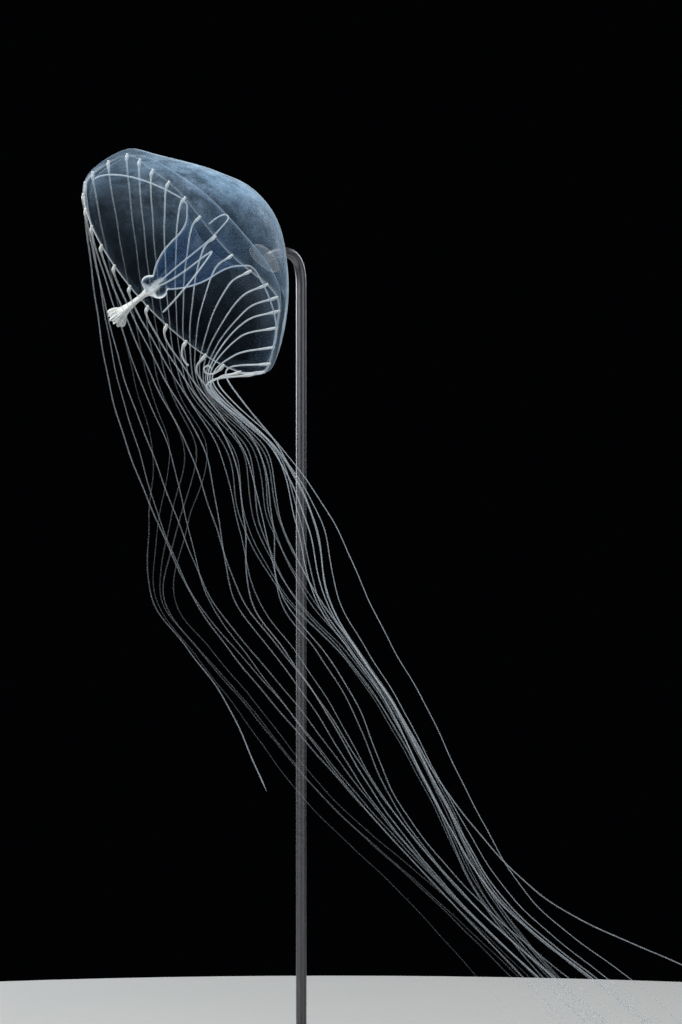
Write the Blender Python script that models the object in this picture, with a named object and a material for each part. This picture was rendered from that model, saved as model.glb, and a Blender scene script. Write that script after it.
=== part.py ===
"""A jellyfish, still and life-size, held by a plain display stand. Metres, +Z up.

The bell is a thick dome of jelly over a shallow hollow. A cone hangs in the hollow and carries
the stomach, the mouth tube and its frilled lips. Thirty-two tentacles grow from bulbs on the
margin, gather under the bell's lower side and stream away towards +X in a few groups.
"""

import math

import bmesh
import bpy
import numpy as np
from mathutils import Vector

MM = 0.001
GAP = 0.3 * MM                              # between pieces that touch

# Pose of the bell
BELL_CENTRE = np.array((-42.7, 0.0, 267.4)) * MM   # middle of the margin
BELL_TILT = math.radians(38.0)              # the bell's axis above the horizontal
BELL_TURN = math.radians(-27.7)             # its heading from +X, towards -Y

# Bell: a dome of jelly over a hollow
BELL_RADIUS = 39.6 * MM
BELL_HEIGHT = 30.9 * MM
DOME_POWER = 1.74                           # height falls as this power of the cosine
FLAT_DEPTH = 2.4 * MM                       # the dome is flattened on its upper left
FLAT_ANGLE, FLAT_WIDTH = math.radians(151.0), math.radians(26.0)
HOLLOW_RADIUS = 37.4 * MM
HOLLOW_DEPTH = 16.9 * MM
HOLLOW_POWER = 1.25
MARGIN_LIFT = 7.2 * MM, 4.6 * MM            # two waves of the margin's back, right and left
MIDDLE_LIFT = 0.9 * MM                      # and the back's rise between them
LOBE_LIFT = 6.3 * MM                        # one higher lobe at its upper left
LOBE_ANGLE, LOBE_WIDTH = math.radians(164.0), math.radians(17.0)
SQUEEZE = 0.12                              # the bell's right side is pressed in by this share
SQUEEZE_ANGLE, SQUEEZE_WIDTH = math.radians(32.0), math.radians(24.0)
EDGE_DROP = 0.25 * MM                       # rounding of the jelly's lower edge
DOME_RINGS = 8
HOLLOW_RADII = np.array((37.4, 36.6, 34.3, 30.0, 24.0, 17.5, 10.2, 5.0)) * MM
COLUMN_STEP = math.radians(10.0)
CANAL_ANGLE = math.radians(12.0)            # first of the four radial canals

# Margin: a ring canal in eight arcs, with a bulb and the first length of each tentacle
ARC_COUNT = 8
BULBS_PER_ARC = 4
RING_RADIUS = 38.8 * MM
RING_DROP = 1.15 * MM                       # the ring's middle under the jelly's edge
RING_THICK = 0.5 * MM                       # half its thickness
RING_SIDE = (-1.0, -1.0), (1.0, -1.0), (1.3, 0.2), (0.0, 1.0), (-1.3, 0.2)     # its cross-section
BULB_SWELL = 1.75
BULB_HALF = 0.55 * MM                       # half the width of a bulb along the ring

# Velum: a narrow shelf inside the margin
VELUM_OUTER = 37.9 * MM
VELUM_INNER = 33.4 * MM
VELUM_THICK = 0.5 * MM
VELUM_SLOPE = 0.9 * MM

# Peduncle, stomach, mouth tube and lips: radius and height above the margin
PEDUNCLE_SIDE = ((10.4, 14.7), (8.0, 10.2), (7.0, 4.5), (6.1, -1.0), (4.3, -5.6), (2.6, -8.7))
STOMACH_SIDE = ((2.5, -9.1), (3.3, -9.8), (3.7, -11.2), (3.0, -12.7), (1.8, -13.4))
MOUTH_TUBE_SIDE = ((1.6, -13.8), (1.05, -15.8), (1.05, -19.8), (1.5, -23.6))
LIPS_SIDE = ((1.4, -24.0), (2.1, -25.0), (2.9, -26.4), (2.6, -27.6), (1.1, -27.0))
PEDUNCLE_EDGE = 0.14                        # its four edges stand out by this share of the radius
STOMACH_LOBE = 0.16
LIP_FOLD = 0.2
LEAN_FROM, LEAN_TO = 12.0 * MM, -26.0 * MM  # the cone and mouth bend aside between these heights
LEAN = 3.2 * MM
CANAL_THICK = 0.36 * MM

# Tentacles
TENTACLE_COUNT = ARC_COUNT * BULBS_PER_ARC
TENTACLE_ROOT = 0.42 * MM                   # half thickness where it leaves its bulb
TENTACLE_TIP = 0.36 * MM
ROOT_LENGTH = 7.0 * MM                      # the length that grows with the margin
ROOT_POINTS, SHORT_POINTS, FREE_POINTS = 6, 8, 18    # along the root, a short one, and the free length
BEND_WEIGHT = 45.0 * MM                     # a radian's bend counts as this much length
LEAVE_INWARD = 1.0, 0.6                     # turned from the axis to the bell's middle, left and right
LEAVE_FLAT = 0.4                            # share of its front-to-back slant that is kept
STIFF_LENGTH = 1.2 * MM, 11.0 * MM          # leaves its bulb straight for this far, left and right
STIFF_POWER = 2.5                           # how quickly that grows towards the right
STIFF_NEAR = 5.0 * MM                       # and how much further the lower right ones do
STIFF_ANGLE, STIFF_WIDTH = math.radians(345.0), math.radians(25.0)
LEVEL_CLEAR = 3.0 * MM                      # the stream starts no nearer than this below
TIP_CLEAR = 8.0 * MM                        # and its last level is no nearer than this above the tip
LEAVE_DOWN, NEAR_ANGLE, NEAR_WIDTH = 1.6, math.radians(285.0), math.radians(35.0)   # the near ones drop
# Tentacles that have lost their ends: steps from the root, in mm. The second one is curled
SHORT_TENTACLES = {26: ((-1.0, 0.4, -1.7), (-1.1, 0.6, -4.0), (0.1, 0.7, -6.2), (0.9, 0.7, -6.7)),
                   28: ((-1.2, -0.2, -1.3), (-3.0, -0.3, -2.3), (-4.8, -0.5, -2.1), (-5.4, -0.8, -0.8),
                        (-4.3, -1.2, 0.0), (-3.2, -1.6, -0.8))}
# Strays from their group: sideways shift at the tip, height of the tip, how late it leaves
STRAYS = {16: (-14, 113, 2.0), 15: (-11, 36, 1.2), 3: (29, 61, 4.0)}
STRAY_FROM = 165.0 * MM
MOUTH_CLEAR, MOUTH_WIDTH = 5.5 * MM, 9.0 * MM       # the tentacles part round the mouth
MOUTH_ENDS = np.array((-9.0, -30.0)) * MM   # heights between which they do
BEHIND_FROM = 0.15                          # sine of the margin angle from which they pass behind it

# Under the bell the tentacles hang between two edges: height, left edge and right edge
UNDER_BELL = np.array(((235, -66, -33.5), (214, -62, -13), (193, -58, 3), (170, -52, 15))) * MM
STREAM_WIDE = math.radians(25.3)            # margin angle whose tentacles keep to the right edge
HANG_DEPTH = 24.0 * MM                      # half the bundle's depth there
HANG_STAGGER = 3.0 * MM                     # every other far tentacle hangs nearer by up to this
FAR_SHIFT = 4.5 * MM                        # the far tentacles come down further left
CROWD = 2.6                                 # crowding to the right
SETTLE_START, SETTLE_END = 232.0 * MM, 168.0 * MM   # heights between which they join their groups
# Groups on the way down. The members stand in order from the left, or else from the front. Then
# come the group's middle, half width, depth and half depth at each level
LEVELS = np.array((235, 214, 193, 170, 155, 140, 111, 82, 52, 27)) * MM
GROUPS = (
    ("left", (16, 15, 14, 13, 12),
     (-66, -62, -57, -50, -39, -26, -2, 30, 61, 87), (3, 3, 3.5, 3.5, 3.2, 3, 3, 3.5, 4, 4.5),
     (10, 10, 9, 8, 8, 8, 8, 9, 10, 10), (4, 4, 4, 4, 3.5, 3, 3, 3, 3, 3)),
    ("left", (17, 18, 19, 20, 21, 22, 23, 24, 25, 27),
     (-49, -43, -36, -27, -16, -5, 14, 39, 71, 98), (13, 13, 15, 16, 16, 14, 7, 5, 8.5, 11.5),
     (-20, -18, -15, -12, -11, -10, -9, -9, -9, -9), (9, 8, 7, 6, 5.5, 5, 5, 5, 5, 5)),
    ("left", (11, 10, 9, 8, 7, 6, 5, 4),
     (-41, -35, -27, -8, 5, 16, 32, 46, 71, 96), (9, 8, 7, 6.5, 4, 3.4, 3.4, 3.2, 3.5, 4.5),
     (20, 18, 16, 14, 12, 11, 10, 10, 10, 10), (9, 8, 6, 5, 4.8, 4.5, 4.5, 4.5, 4.5, 4.5)),
    ("front", (29, 30, 0, 1, 2, 3),
     (-31, -20, -10, -1, 8, 18, 33, 51, 87, 117), (3, 6, 7.5, 4, 3.4, 3, 3, 3, 4, 5),
     (2, 1, 0, -1, -1, -1, 0, 0, -1, -1), (8, 7, 5, 4, 3.6, 3.4, 3.4, 3.4, 3.6, 4)),
    ("left", (31,), (-34, -14, 0, 11, 19, 28, 41.5, 59, 97, 118), (0,) * 10, (-6,) * 10, (0,) * 10))
SLOT_WIDE = 0.92                            # the outer slots of a group, as a share of its half size
SLOT_TURNS = 0.75, -0.45, 0.25, -0.85       # and how far aside of that order its slots lie, in turn
TWIST = math.radians(50.0)                  # slow turn of a group on its way down
WAVE, WAVE_LENGTH = 0.4 * MM, 85.0 * MM
LOWEST_TIP, TIP_SPREAD = 27.0 * MM, 15.0 * MM
GOLDEN = 0.618034

# Stand
BASE_LENGTH, BASE_DEPTH, BASE_THICK = 240.0 * MM, 120.0 * MM, 12.0 * MM
BASE_BEVEL = 1.5 * MM
ROD_RADIUS = 1.6 * MM
FOOT_RADIUS, FOOT_HEIGHT = 5.0 * MM, 5.0 * MM
PAD_ANGLE = math.radians(72.0)              # place on the dome's back
PAD_LATITUDE = math.radians(70.0)           # 90 is the margin, 0 the apex
PAD_SPAN = math.radians(9.0)
PAD_THICK = 1.4 * MM
ROD_REACH = 14.0 * MM                       # how far behind the dome the rod stands

TAU = 2.0 * math.pi


def unit(vector):
    """The vector's direction, one long."""
    return vector / np.linalg.norm(vector)


AXIS = np.array((math.cos(BELL_TILT) * math.cos(BELL_TURN),
                 math.cos(BELL_TILT) * math.sin(BELL_TURN),
                 math.sin(BELL_TILT)))      # from the opening to the apex
WIDE = unit(np.cross((0.0, 1.0, 0.0), AXIS))        # along the margin's lower right
FAR = np.cross(AXIS, WIDE)                  # along the margin's back


# ---------------------------------------------------------------- shape functions

def ease(share):
    """0 below 0 and 1 above 1, with a smooth S between."""
    share = np.clip(share, 0.0, 1.0)
    return share * share * (3.0 - 2.0 * share)


def bump(angle, middle, width):
    """A bell-shaped bump of height 1 round a circle."""
    away = np.angle(np.exp(1j * (angle - middle)))
    return np.exp(-(away / width) ** 2)


def margin_lift(angle):
    """Height that the margin's waves add at an angle: two on the back half and a lobe at one end."""
    tall = np.where(np.cos(angle) > 0.0, *MARGIN_LIFT)
    waves = tall * np.sin(2.0 * angle) ** 2 + MIDDLE_LIFT * np.sin(angle) ** 4
    return waves * (np.sin(angle) > 0.0) + LOBE_LIFT * bump(angle, LOBE_ANGLE, LOBE_WIDTH)


def on_bell(angle, radius, height):
    """World points at an angle round the bell's axis, a radius from it and a height above the margin."""
    angle, radius, height = np.broadcast_arrays(angle, radius, height)
    share = (radius / BELL_RADIUS) ** 2 * (1.0 - np.clip(height / BELL_HEIGHT, 0.0, 1.0))
    out = np.cos(angle)[..., None] * WIDE + np.sin(angle)[..., None] * FAR
    rise = height + margin_lift(angle) * share
    pressed = radius * (1.0 - SQUEEZE * bump(angle, SQUEEZE_ANGLE, SQUEEZE_WIDTH))
    return BELL_CENTRE + pressed[..., None] * out + rise[..., None] * AXIS


def on_cone(angle, radius, height):
    """Points round the hanging cone's own axis, which leans as it goes down."""
    shift = -LEAN * ease((LEAN_FROM - np.asarray(height, float)) / (LEAN_FROM - LEAN_TO))
    return on_bell(angle, radius, height) + shift[..., None] * WIDE


def dome_point(angle, latitude):
    """The dome's outer surface: latitude 0 at the apex, a right angle at the margin."""
    height = BELL_HEIGHT * np.maximum(np.cos(latitude), 0.0) ** DOME_POWER
    height = height - FLAT_DEPTH * bump(angle, FLAT_ANGLE, FLAT_WIDTH) * np.sin(2.0 * latitude) ** 2
    return on_bell(angle, BELL_RADIUS * np.sin(latitude), height)


def hollow_height(radius):
    """Height of the hollow's roof over the margin."""
    cosine = np.sqrt(np.maximum(1.0 - (radius / HOLLOW_RADIUS) ** 2, 0.0))
    return HOLLOW_DEPTH * cosine ** HOLLOW_POWER


def side(pairs):
    """Radii and heights of a side given as pairs in millimetres."""
    rows = np.array(pairs) * MM
    return rows[:, 0], rows[:, 1]


def smooth_curve(points, steps=24):
    """A Catmull-Rom curve through the points, as closely spaced points."""
    points = np.asarray(points, float)
    padded = np.vstack((2 * points[0] - points[1], points, 2 * points[-1] - points[-2]))
    pieces = []
    for p0, p1, p2, p3 in zip(padded, padded[1:], padded[2:], padded[3:]):
        knots = np.cumsum([0.0] + [math.sqrt(np.linalg.norm(b - a)) for a, b in
                                   ((p0, p1), (p1, p2), (p2, p3))])
        t = np.linspace(knots[1], knots[2], steps, endpoint=False)[:, None]
        a1 = ((knots[1] - t) * p0 + (t - knots[0]) * p1) / (knots[1] - knots[0])
        a2 = ((knots[2] - t) * p1 + (t - knots[1]) * p2) / (knots[2] - knots[1])
        a3 = ((knots[3] - t) * p2 + (t - knots[2]) * p3) / (knots[3] - knots[2])
        b1 = ((knots[2] - t) * a1 + (t - knots[0]) * a2) / (knots[2] - knots[0])
        b2 = ((knots[3] - t) * a2 + (t - knots[1]) * a3) / (knots[3] - knots[1])
        pieces.append(((knots[2] - t) * b1 + (t - knots[1]) * b2) / (knots[2] - knots[1]))
    pieces.append(points[-1:])
    return np.vstack(pieces)


def arc_lengths(curve):
    """Length along a curve at each of its points."""
    steps = np.linalg.norm(np.diff(curve, axis=0), axis=1)
    return np.concatenate(([0.0], np.cumsum(steps)))


def points_at(curve, lengths):
    """Points of a curve at given lengths along it."""
    along = arc_lengths(curve)
    return np.stack([np.interp(lengths, along, curve[:, k]) for k in range(3)], axis=1)


def spaced_lengths(curve, start, end, count):
    """Lengths between two places on a curve, closer together where it bends.

    They are equal steps of a measure that adds the length to BEND_WEIGHT times the angle turned.
    """
    along = arc_lengths(curve)
    steps = np.diff(curve, axis=0)
    steps /= np.linalg.norm(steps, axis=1)[:, None]
    turned = np.arccos(np.clip(np.sum(steps[:-1] * steps[1:], axis=1), -1.0, 1.0))
    measure = along + BEND_WEIGHT * np.concatenate(([0.0], np.cumsum(turned), [np.sum(turned)]))
    first, last = np.interp((start, end), along, measure)
    return np.interp(np.linspace(first, last, count), measure, along)


# ---------------------------------------------------------------- mesh builders

def new_object(name, mesh_data, material):
    """An object of its own in the scene, smooth but for its sharp edges."""
    mesh = bpy.data.meshes.new(name)
    mesh_data.to_mesh(mesh)
    mesh_data.free()
    mesh.materials.append(material)
    mesh.shade_smooth()
    mesh.set_sharp_from_angle(angle=math.radians(40.0))
    piece = bpy.data.objects.new(name, mesh)
    bpy.context.scene.collection.objects.link(piece)
    return piece


def loft(name, rows, material):
    """One closed body from rows of points; a row of one point is a pole, other ends get a cap."""
    bm = bmesh.new()
    rings = [[bm.verts.new(point) for point in row] for row in rows]
    for lower, upper in zip(rings, rings[1:]):
        count = max(len(lower), len(upper))
        for k in range(count):
            corners = [lower[k % len(lower)], lower[(k + 1) % len(lower)],
                       upper[(k + 1) % len(upper)], upper[k % len(upper)]]
            bm.faces.new(list(dict.fromkeys(corners)))
    for ring in (rings[0], rings[-1]):
        if len(ring) > 1:
            bm.faces.new(ring)
    bmesh.ops.recalc_face_normals(bm, faces=bm.faces)
    return new_object(name, bm, material)


def tube(name, path, radii, sides, material):
    """A round rod along a path, its rings carried on without twist."""
    path = np.asarray(path)
    tangents = np.gradient(path, axis=0)
    tangents /= np.linalg.norm(tangents, axis=1)[:, None]
    across = unit(np.cross(tangents[0], (0.0, 1.0, 0.3)))
    turn = TAU * (np.arange(sides) + 0.5) / sides
    rows = []
    for point, tangent, radius in zip(path, tangents, np.broadcast_to(radii, len(path))):
        across = unit(across - tangent * np.dot(across, tangent))
        other = np.cross(tangent, across)
        rows.append(point + radius * (np.cos(turn)[:, None] * across + np.sin(turn)[:, None] * other))
    return loft(name, rows, material)


def material(name, colour, roughness, metallic=0.0, alpha=1.0):
    """A plain material of one colour."""
    finish = bpy.data.materials.new(name)
    finish.use_nodes = True
    shader = finish.node_tree.nodes["Principled BSDF"]
    shader.inputs["Base Color"].default_value = (*colour, 1.0)
    shader.inputs["Roughness"].default_value = roughness
    shader.inputs["Metallic"].default_value = metallic
    shader.inputs["Alpha"].default_value = alpha
    return finish


# ---------------------------------------------------------------- bell

def build_bell(jelly):
    """Dome, rounded edge and hollow, turned round the bell's axis."""
    columns = CANAL_ANGLE + np.arange(0.0, TAU - 0.01, COLUMN_STEP)
    latitudes = np.linspace(0.0, math.pi / 2, DOME_RINGS + 1)[1:]
    rows = [[dome_point(0.0, 0.0)]]
    rows += [dome_point(columns, latitude) for latitude in latitudes]
    rows.append(on_bell(columns, (BELL_RADIUS + HOLLOW_RADIUS) / 2, -EDGE_DROP))
    rows += [on_bell(columns, radius, hollow_height(radius)) for radius in HOLLOW_RADII]
    rows.append([on_bell(0.0, 0.0, HOLLOW_DEPTH)])
    return loft("bell", rows, jelly)


def build_velum(jelly):
    """A thin sloping shelf round the inside of the margin."""
    columns = CANAL_ANGLE + np.arange(0.0, TAU - 0.01, COLUMN_STEP)
    half = VELUM_THICK / 2
    corners = ((VELUM_OUTER, half), (VELUM_OUTER, -half), (VELUM_INNER, -half - VELUM_SLOPE),
               (VELUM_INNER, half - VELUM_SLOPE))
    bm = bmesh.new()
    rings = [[bm.verts.new(p) for p in on_bell(columns, radius, height - RING_DROP)]
             for radius, height in corners]
    for here, there in zip(rings, rings[1:] + rings[:1]):
        for k in range(len(columns)):
            after = (k + 1) % len(columns)
            bm.faces.new((here[k], here[after], there[after], there[k]))
    bmesh.ops.recalc_face_normals(bm, faces=bm.faces)
    return new_object("velum", bm, jelly)


# ---------------------------------------------------------------- cone, stomach and mouth

def build_peduncle(jelly):
    """The hanging cone, with an edge for each canal. Its top follows the hollow's roof, a gap below it."""
    columns = CANAL_ANGLE + np.arange(0.0, TAU - 0.01, 3 * COLUMN_STEP)
    edges = 1.0 + PEDUNCLE_EDGE * np.cos(4.0 * (columns - CANAL_ANGLE))
    roof = HOLLOW_RADII[-2:][::-1]
    rows = [[on_bell(0.0, 0.0, HOLLOW_DEPTH - GAP)]]
    rows += [on_bell(columns, radius, hollow_height(radius) - GAP) for radius in roof]
    rows += [on_cone(columns, radius * edges, height) for radius, height in zip(*side(PEDUNCLE_SIDE))]
    return loft("peduncle", rows, jelly)


def build_stomach(white):
    """A squat pouch with four lobes, one for each canal."""
    columns = CANAL_ANGLE + np.arange(16) * TAU / 16
    lobes = 1.0 + STOMACH_LOBE * np.cos(4.0 * (columns - CANAL_ANGLE))
    rows = [on_cone(columns, radius * lobes, height) for radius, height in zip(*side(STOMACH_SIDE))]
    return loft("stomach", rows, white)


def build_manubrium(white):
    """The narrow tube between stomach and lips."""
    columns = CANAL_ANGLE + np.arange(8) * TAU / 8
    rows = [on_cone(columns, radius, height) for radius, height in zip(*side(MOUTH_TUBE_SIDE))]
    return loft("manubrium", rows, white)


def build_lips(white):
    """Four folded lips: lobes round the mouth, crimped along their edge, with a hollow between."""
    columns = CANAL_ANGLE + np.arange(24) * TAU / 24
    radii, heights = side(LIPS_SIDE)
    rows = []
    for radius, height in zip(radii, heights):
        spread = radius / radii.max()
        fold = 1.0 + LIP_FOLD * spread * (np.cos(4.0 * columns) + 0.6 * np.cos(12.0 * columns))
        rows.append(on_cone(columns, radius * fold, height))
    return loft("lips", rows, white)


def canal_path(angle):
    """From the margin over the hollow's roof to the cone, then down the cone to the stomach.

    Both stretches run a gap off the surface that they follow.
    """
    radii = HOLLOW_RADII[1:6]
    roof = np.stack((radii, hollow_height(radii)), axis=1)
    cone = np.stack(side(PEDUNCLE_SIDE), axis=1) * (1.0 + PEDUNCLE_EDGE, 1.0)
    line = np.vstack((roof, cone))
    steps = np.diff(line, axis=0)
    steps /= np.linalg.norm(steps, axis=1)[:, None]
    normals = np.stack((-steps[:, 1], steps[:, 0]), axis=1)
    before = np.vstack((normals[:1], normals))
    after = np.vstack((normals, normals[-1:]))
    mitre = (before + after) / (1.0 + np.sum(before * after, axis=1))[:, None]
    line = line + mitre * (GAP + CANAL_THICK)
    count = len(roof)
    return np.vstack((on_bell(angle, line[:count, 0], line[:count, 1]),
                      on_cone(angle, line[count:, 0], line[count:, 1])))


def build_canals(white):
    """Four radial canals, a quarter turn apart."""
    for k in range(4):
        path = canal_path(CANAL_ANGLE + k * TAU / 4)
        tube(f"radial_canal_{k + 1}", path, CANAL_THICK, 4, white)


# ---------------------------------------------------------------- tentacles

def group_point(index, height):
    """Where a tentacle's slot in its group lies at a height: across the stream, and in depth."""
    order_from, members, *rows = next(group for group in GROUPS if index in group[1])
    middle, wide, back, deep = (np.interp(height, LEVELS[::-1], np.array(row[::-1]) * MM) for row in rows)
    order = members.index(index)
    u = SLOT_WIDE * (2.0 * order / max(len(members) - 1, 1) - 1.0)
    v = SLOT_TURNS[order % len(SLOT_TURNS)] * math.sqrt(1.0 - 0.7 * u * u)
    if order_from == "front":
        u, v = v, u
    turn = TWIST * (LEVELS[0] - height) / (LEVELS[0] - LEVELS[-1])
    return (middle + wide * (u * math.cos(turn) + v * math.sin(turn)),
            back + deep * (v * math.cos(turn) - u * math.sin(turn)))


def bundle_point(index, height):
    """Where a tentacle crosses a height of the stream.

    Under the bell its angle on the margin spreads it evenly across the bundle, crowded to the
    right. Lower down it joins its group, and it waves a little.
    """
    angle = TAU * (index + 0.5) / TENTACLE_COUNT
    levels, lefts, rights = UNDER_BELL[::-1].T
    left, right = np.interp(height, levels, lefts), np.interp(height, levels, rights)
    spread = 1.0 - (abs(np.angle(np.exp(1j * (angle - STREAM_WIDE)))) / math.pi) ** CROWD
    hanging = np.array((left + (right - left) * spread - FAR_SHIFT * max(math.sin(angle), 0.0),
                        HANG_DEPTH * math.sin(angle)
                        - HANG_STAGGER * (index % 2) * max(math.sin(angle), 0.0) ** 6))
    settle = ease((SETTLE_START - height) / (SETTLE_START - SETTLE_END))
    phase = TAU * (height / WAVE_LENGTH + GOLDEN * index)
    wave = WAVE * settle * np.array((math.sin(phase), math.cos(1.3 * phase)))
    x, y = hanging + settle * (np.array(group_point(index, height)) - hanging) + wave
    return np.array((x, y, height))


def part_round_mouth(points, side_of_mouth):
    """Bend a tentacle back or forward, on its own side, where it passes the mouth tube.

    The push is a soft ramp that keeps it a set distance away, faded out by a bell curve of the
    distance seen from the front.
    """
    start, end = on_cone(0.0, 0.0, MOUTH_ENDS)
    line = end - start
    flat = line * (1.0, 0.0, 1.0)
    share = np.clip((points - start) @ flat / (flat @ flat), 0.0, 1.0)
    away = points - start - share[:, None] * line
    near = np.exp(-(away[:, 0] ** 2 + away[:, 2] ** 2) / MOUTH_WIDTH ** 2)
    short = MOUTH_CLEAR - side_of_mouth * away[:, 1]
    push = 0.5 * (short + np.sqrt(short ** 2 + MM ** 2))
    return points + (side_of_mouth * near * push)[:, None] * (0.0, 1.0, 0.0)


def tentacle_curve(index):
    """The whole route of one tentacle, from its bulb to its tip."""
    angle = TAU * (index + 0.5) / TENTACLE_COUNT
    root = on_bell(angle, RING_RADIUS, -RING_DROP - RING_THICK)
    if index in SHORT_TENTACLES:
        return smooth_curve(np.vstack((root, root + np.array(SHORT_TENTACLES[index]) * MM)))
    right_share = 0.5 + 0.5 * math.cos(angle - STREAM_WIDE)
    turn_in = LEAVE_INWARD[0] + (LEAVE_INWARD[1] - LEAVE_INWARD[0]) * right_share
    inward = -math.cos(angle) * WIDE - math.sin(angle) * FAR
    heading = unit(turn_in * inward - AXIS) * (1.0, LEAVE_FLAT, 1.0)
    heading = unit(heading - (0.0, 0.0, LEAVE_DOWN * bump(angle, NEAR_ANGLE, NEAR_WIDTH)))
    stiff = STIFF_LENGTH[0] + (STIFF_LENGTH[1] - STIFF_LENGTH[0]) * right_share ** STIFF_POWER
    stiff = stiff + STIFF_NEAR * bump(angle, STIFF_ANGLE, STIFF_WIDTH)
    shift, tip, late = STRAYS.get(index, (0.0, (LOWEST_TIP + TIP_SPREAD * (GOLDEN * index % 1.0)) / MM, 1))
    shift, tip = shift * MM, tip * MM
    below = []
    start = root + stiff * heading
    for level in [level for level in LEVELS if tip + TIP_CLEAR < level < start[2] - LEVEL_CLEAR] + [tip]:
        strayed = np.clip((STRAY_FROM - level) / (STRAY_FROM - tip), 0.0, 1.0) ** late
        below.append(bundle_point(index, level) + np.array((shift * strayed, 0.0, 0.0)))
    curve = smooth_curve([root, start] + below)
    return part_round_mouth(curve, 1.0 if math.sin(angle) > BEHIND_FROM else -1.0)


def tentacle_radius(lengths, whole):
    """Half the thickness of a tentacle, which thins evenly to its tip."""
    return TENTACLE_ROOT + (TENTACLE_TIP - TENTACLE_ROOT) * np.asarray(lengths) / whole


def grow_root(bm, face, path, radii):
    """Extrude one face of the ring along a path, carrying its corners on without twist."""
    corners = [vert.co.copy() for vert in face.verts]
    middle = sum(corners, Vector()) / len(corners)
    spokes = [(corner - middle).normalized() for corner in corners]
    heading = Vector(path[1] - path[0]).normalized()
    for before, here, after, radius in zip(path, path[1:], np.vstack((path[2:], path[-1:])), radii[1:]):
        heading_now = Vector(after - before).normalized()
        turn = heading.rotation_difference(heading_now)
        spokes = [turn @ spoke for spoke in spokes]
        heading = heading_now
        face = bmesh.ops.extrude_discrete_faces(bm, faces=[face])["faces"][0]
        for vert, spoke in zip(face.verts, spokes):
            vert.co = Vector(here) + spoke * float(radius)


def build_margin_arc(number, flesh):
    """One eighth of the ring canal, swollen at its bulbs, with a root length under each bulb."""
    first = number * BULBS_PER_ARC
    step = TAU / TENTACLE_COUNT
    trim = GAP / 2 / RING_RADIUS
    half = BULB_HALF / RING_RADIUS
    stations, swell = [first * step + trim], [1.0]
    for index in range(first, first + BULBS_PER_ARC):
        middle = (index + 0.5) * step
        stations += [middle - 3 * half, middle - half, middle + half, middle + 3 * half]
        swell += [1.0, BULB_SWELL, BULB_SWELL, 1.0]
    stations.append((first + BULBS_PER_ARC) * step - trim)
    swell.append(1.0)
    bm = bmesh.new()
    rings = []
    for angle, size in zip(stations, swell):
        wide, tall = RING_THICK * (0.5 + 0.5 * size), RING_THICK
        corners = [(wide * a, tall * b) for a, b in RING_SIDE]
        rings.append([bm.verts.new(on_bell(angle, RING_RADIUS + a, -RING_DROP + b)) for a, b in corners])
    undersides = []
    for place, (here, there) in enumerate(zip(rings, rings[1:])):
        for k in range(len(here)):
            after = (k + 1) % len(here)
            face = bm.faces.new((here[k], here[after], there[after], there[k]))
            if k == 0 and place % 4 == 2:
                undersides.append(face)
    bm.faces.new(rings[0])
    bm.faces.new(rings[-1])
    bmesh.ops.recalc_face_normals(bm, faces=bm.faces)
    for index, face in zip(range(first, first + BULBS_PER_ARC), undersides):
        curve = tentacle_curve(index)
        whole = arc_lengths(curve)[-1]
        length, count = (whole, SHORT_POINTS) if index in SHORT_TENTACLES else (ROOT_LENGTH, ROOT_POINTS)
        lengths = spaced_lengths(curve, 0.0, length, count)
        grow_root(bm, face, points_at(curve, lengths), tentacle_radius(lengths, whole))
    return new_object(f"margin_{number + 1}", bm, flesh)


def build_tentacle(index, flesh):
    """The long free length, from the end of its root length to its tip."""
    curve = tentacle_curve(index)
    whole = arc_lengths(curve)[-1]
    lengths = spaced_lengths(curve, ROOT_LENGTH + GAP, whole, FREE_POINTS)
    return tube(f"tentacle_{index + 1:02d}", points_at(curve, lengths),
                tentacle_radius(lengths, whole), 4, flesh)


# ---------------------------------------------------------------- stand

def build_base(wood):
    """A flat plate with round ends and softened edges."""
    reach = BASE_LENGTH / 2 - BASE_DEPTH / 2
    turns = np.linspace(-math.pi / 2, math.pi / 2, 13)
    right = [(reach + BASE_DEPTH / 2 * math.cos(t), BASE_DEPTH / 2 * math.sin(t)) for t in turns]
    outline = right + [(-x, -y) for x, y in right]
    bm = bmesh.new()
    foot = bm.faces.new([bm.verts.new((x, y, 0.0)) for x, y in outline])
    grown = bmesh.ops.extrude_face_region(bm, geom=[foot])
    top = [item for item in grown["geom"] if isinstance(item, bmesh.types.BMVert)]
    bmesh.ops.translate(bm, verts=top, vec=(0.0, 0.0, BASE_THICK))
    bmesh.ops.recalc_face_normals(bm, faces=bm.faces)
    base = new_object("stand_base", bm, wood)
    bevel = base.modifiers.new("edges", "BEVEL")
    bevel.width = BASE_BEVEL
    bevel.segments = 2
    bevel.angle_limit = math.radians(60.0)
    return base


def pad_surface(angle, latitude, off):
    """Points a distance off the dome, along its outward normal."""
    small = 1e-4
    point = dome_point(angle, latitude)
    along = dome_point(angle + small, latitude) - dome_point(angle - small, latitude)
    down = dome_point(angle, latitude + small) - dome_point(angle, latitude - small)
    normal = np.cross(down, along)
    return point + off * normal / np.linalg.norm(normal, axis=-1, keepdims=True)


def build_pad(clear):
    """A small round-cornered saddle that fits the dome."""
    turns = np.arange(12) * TAU / 12
    angles = PAD_ANGLE + PAD_SPAN * np.cos(turns)
    latitudes = PAD_LATITUDE + PAD_SPAN * np.sin(turns)
    rows = [[pad_surface(PAD_ANGLE, PAD_LATITUDE, GAP)],
            pad_surface(angles, latitudes, GAP),
            pad_surface(angles, latitudes, GAP + PAD_THICK),
            [pad_surface(PAD_ANGLE, PAD_LATITUDE, GAP + PAD_THICK)]]
    return loft("stand_pad", rows, clear)


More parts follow.
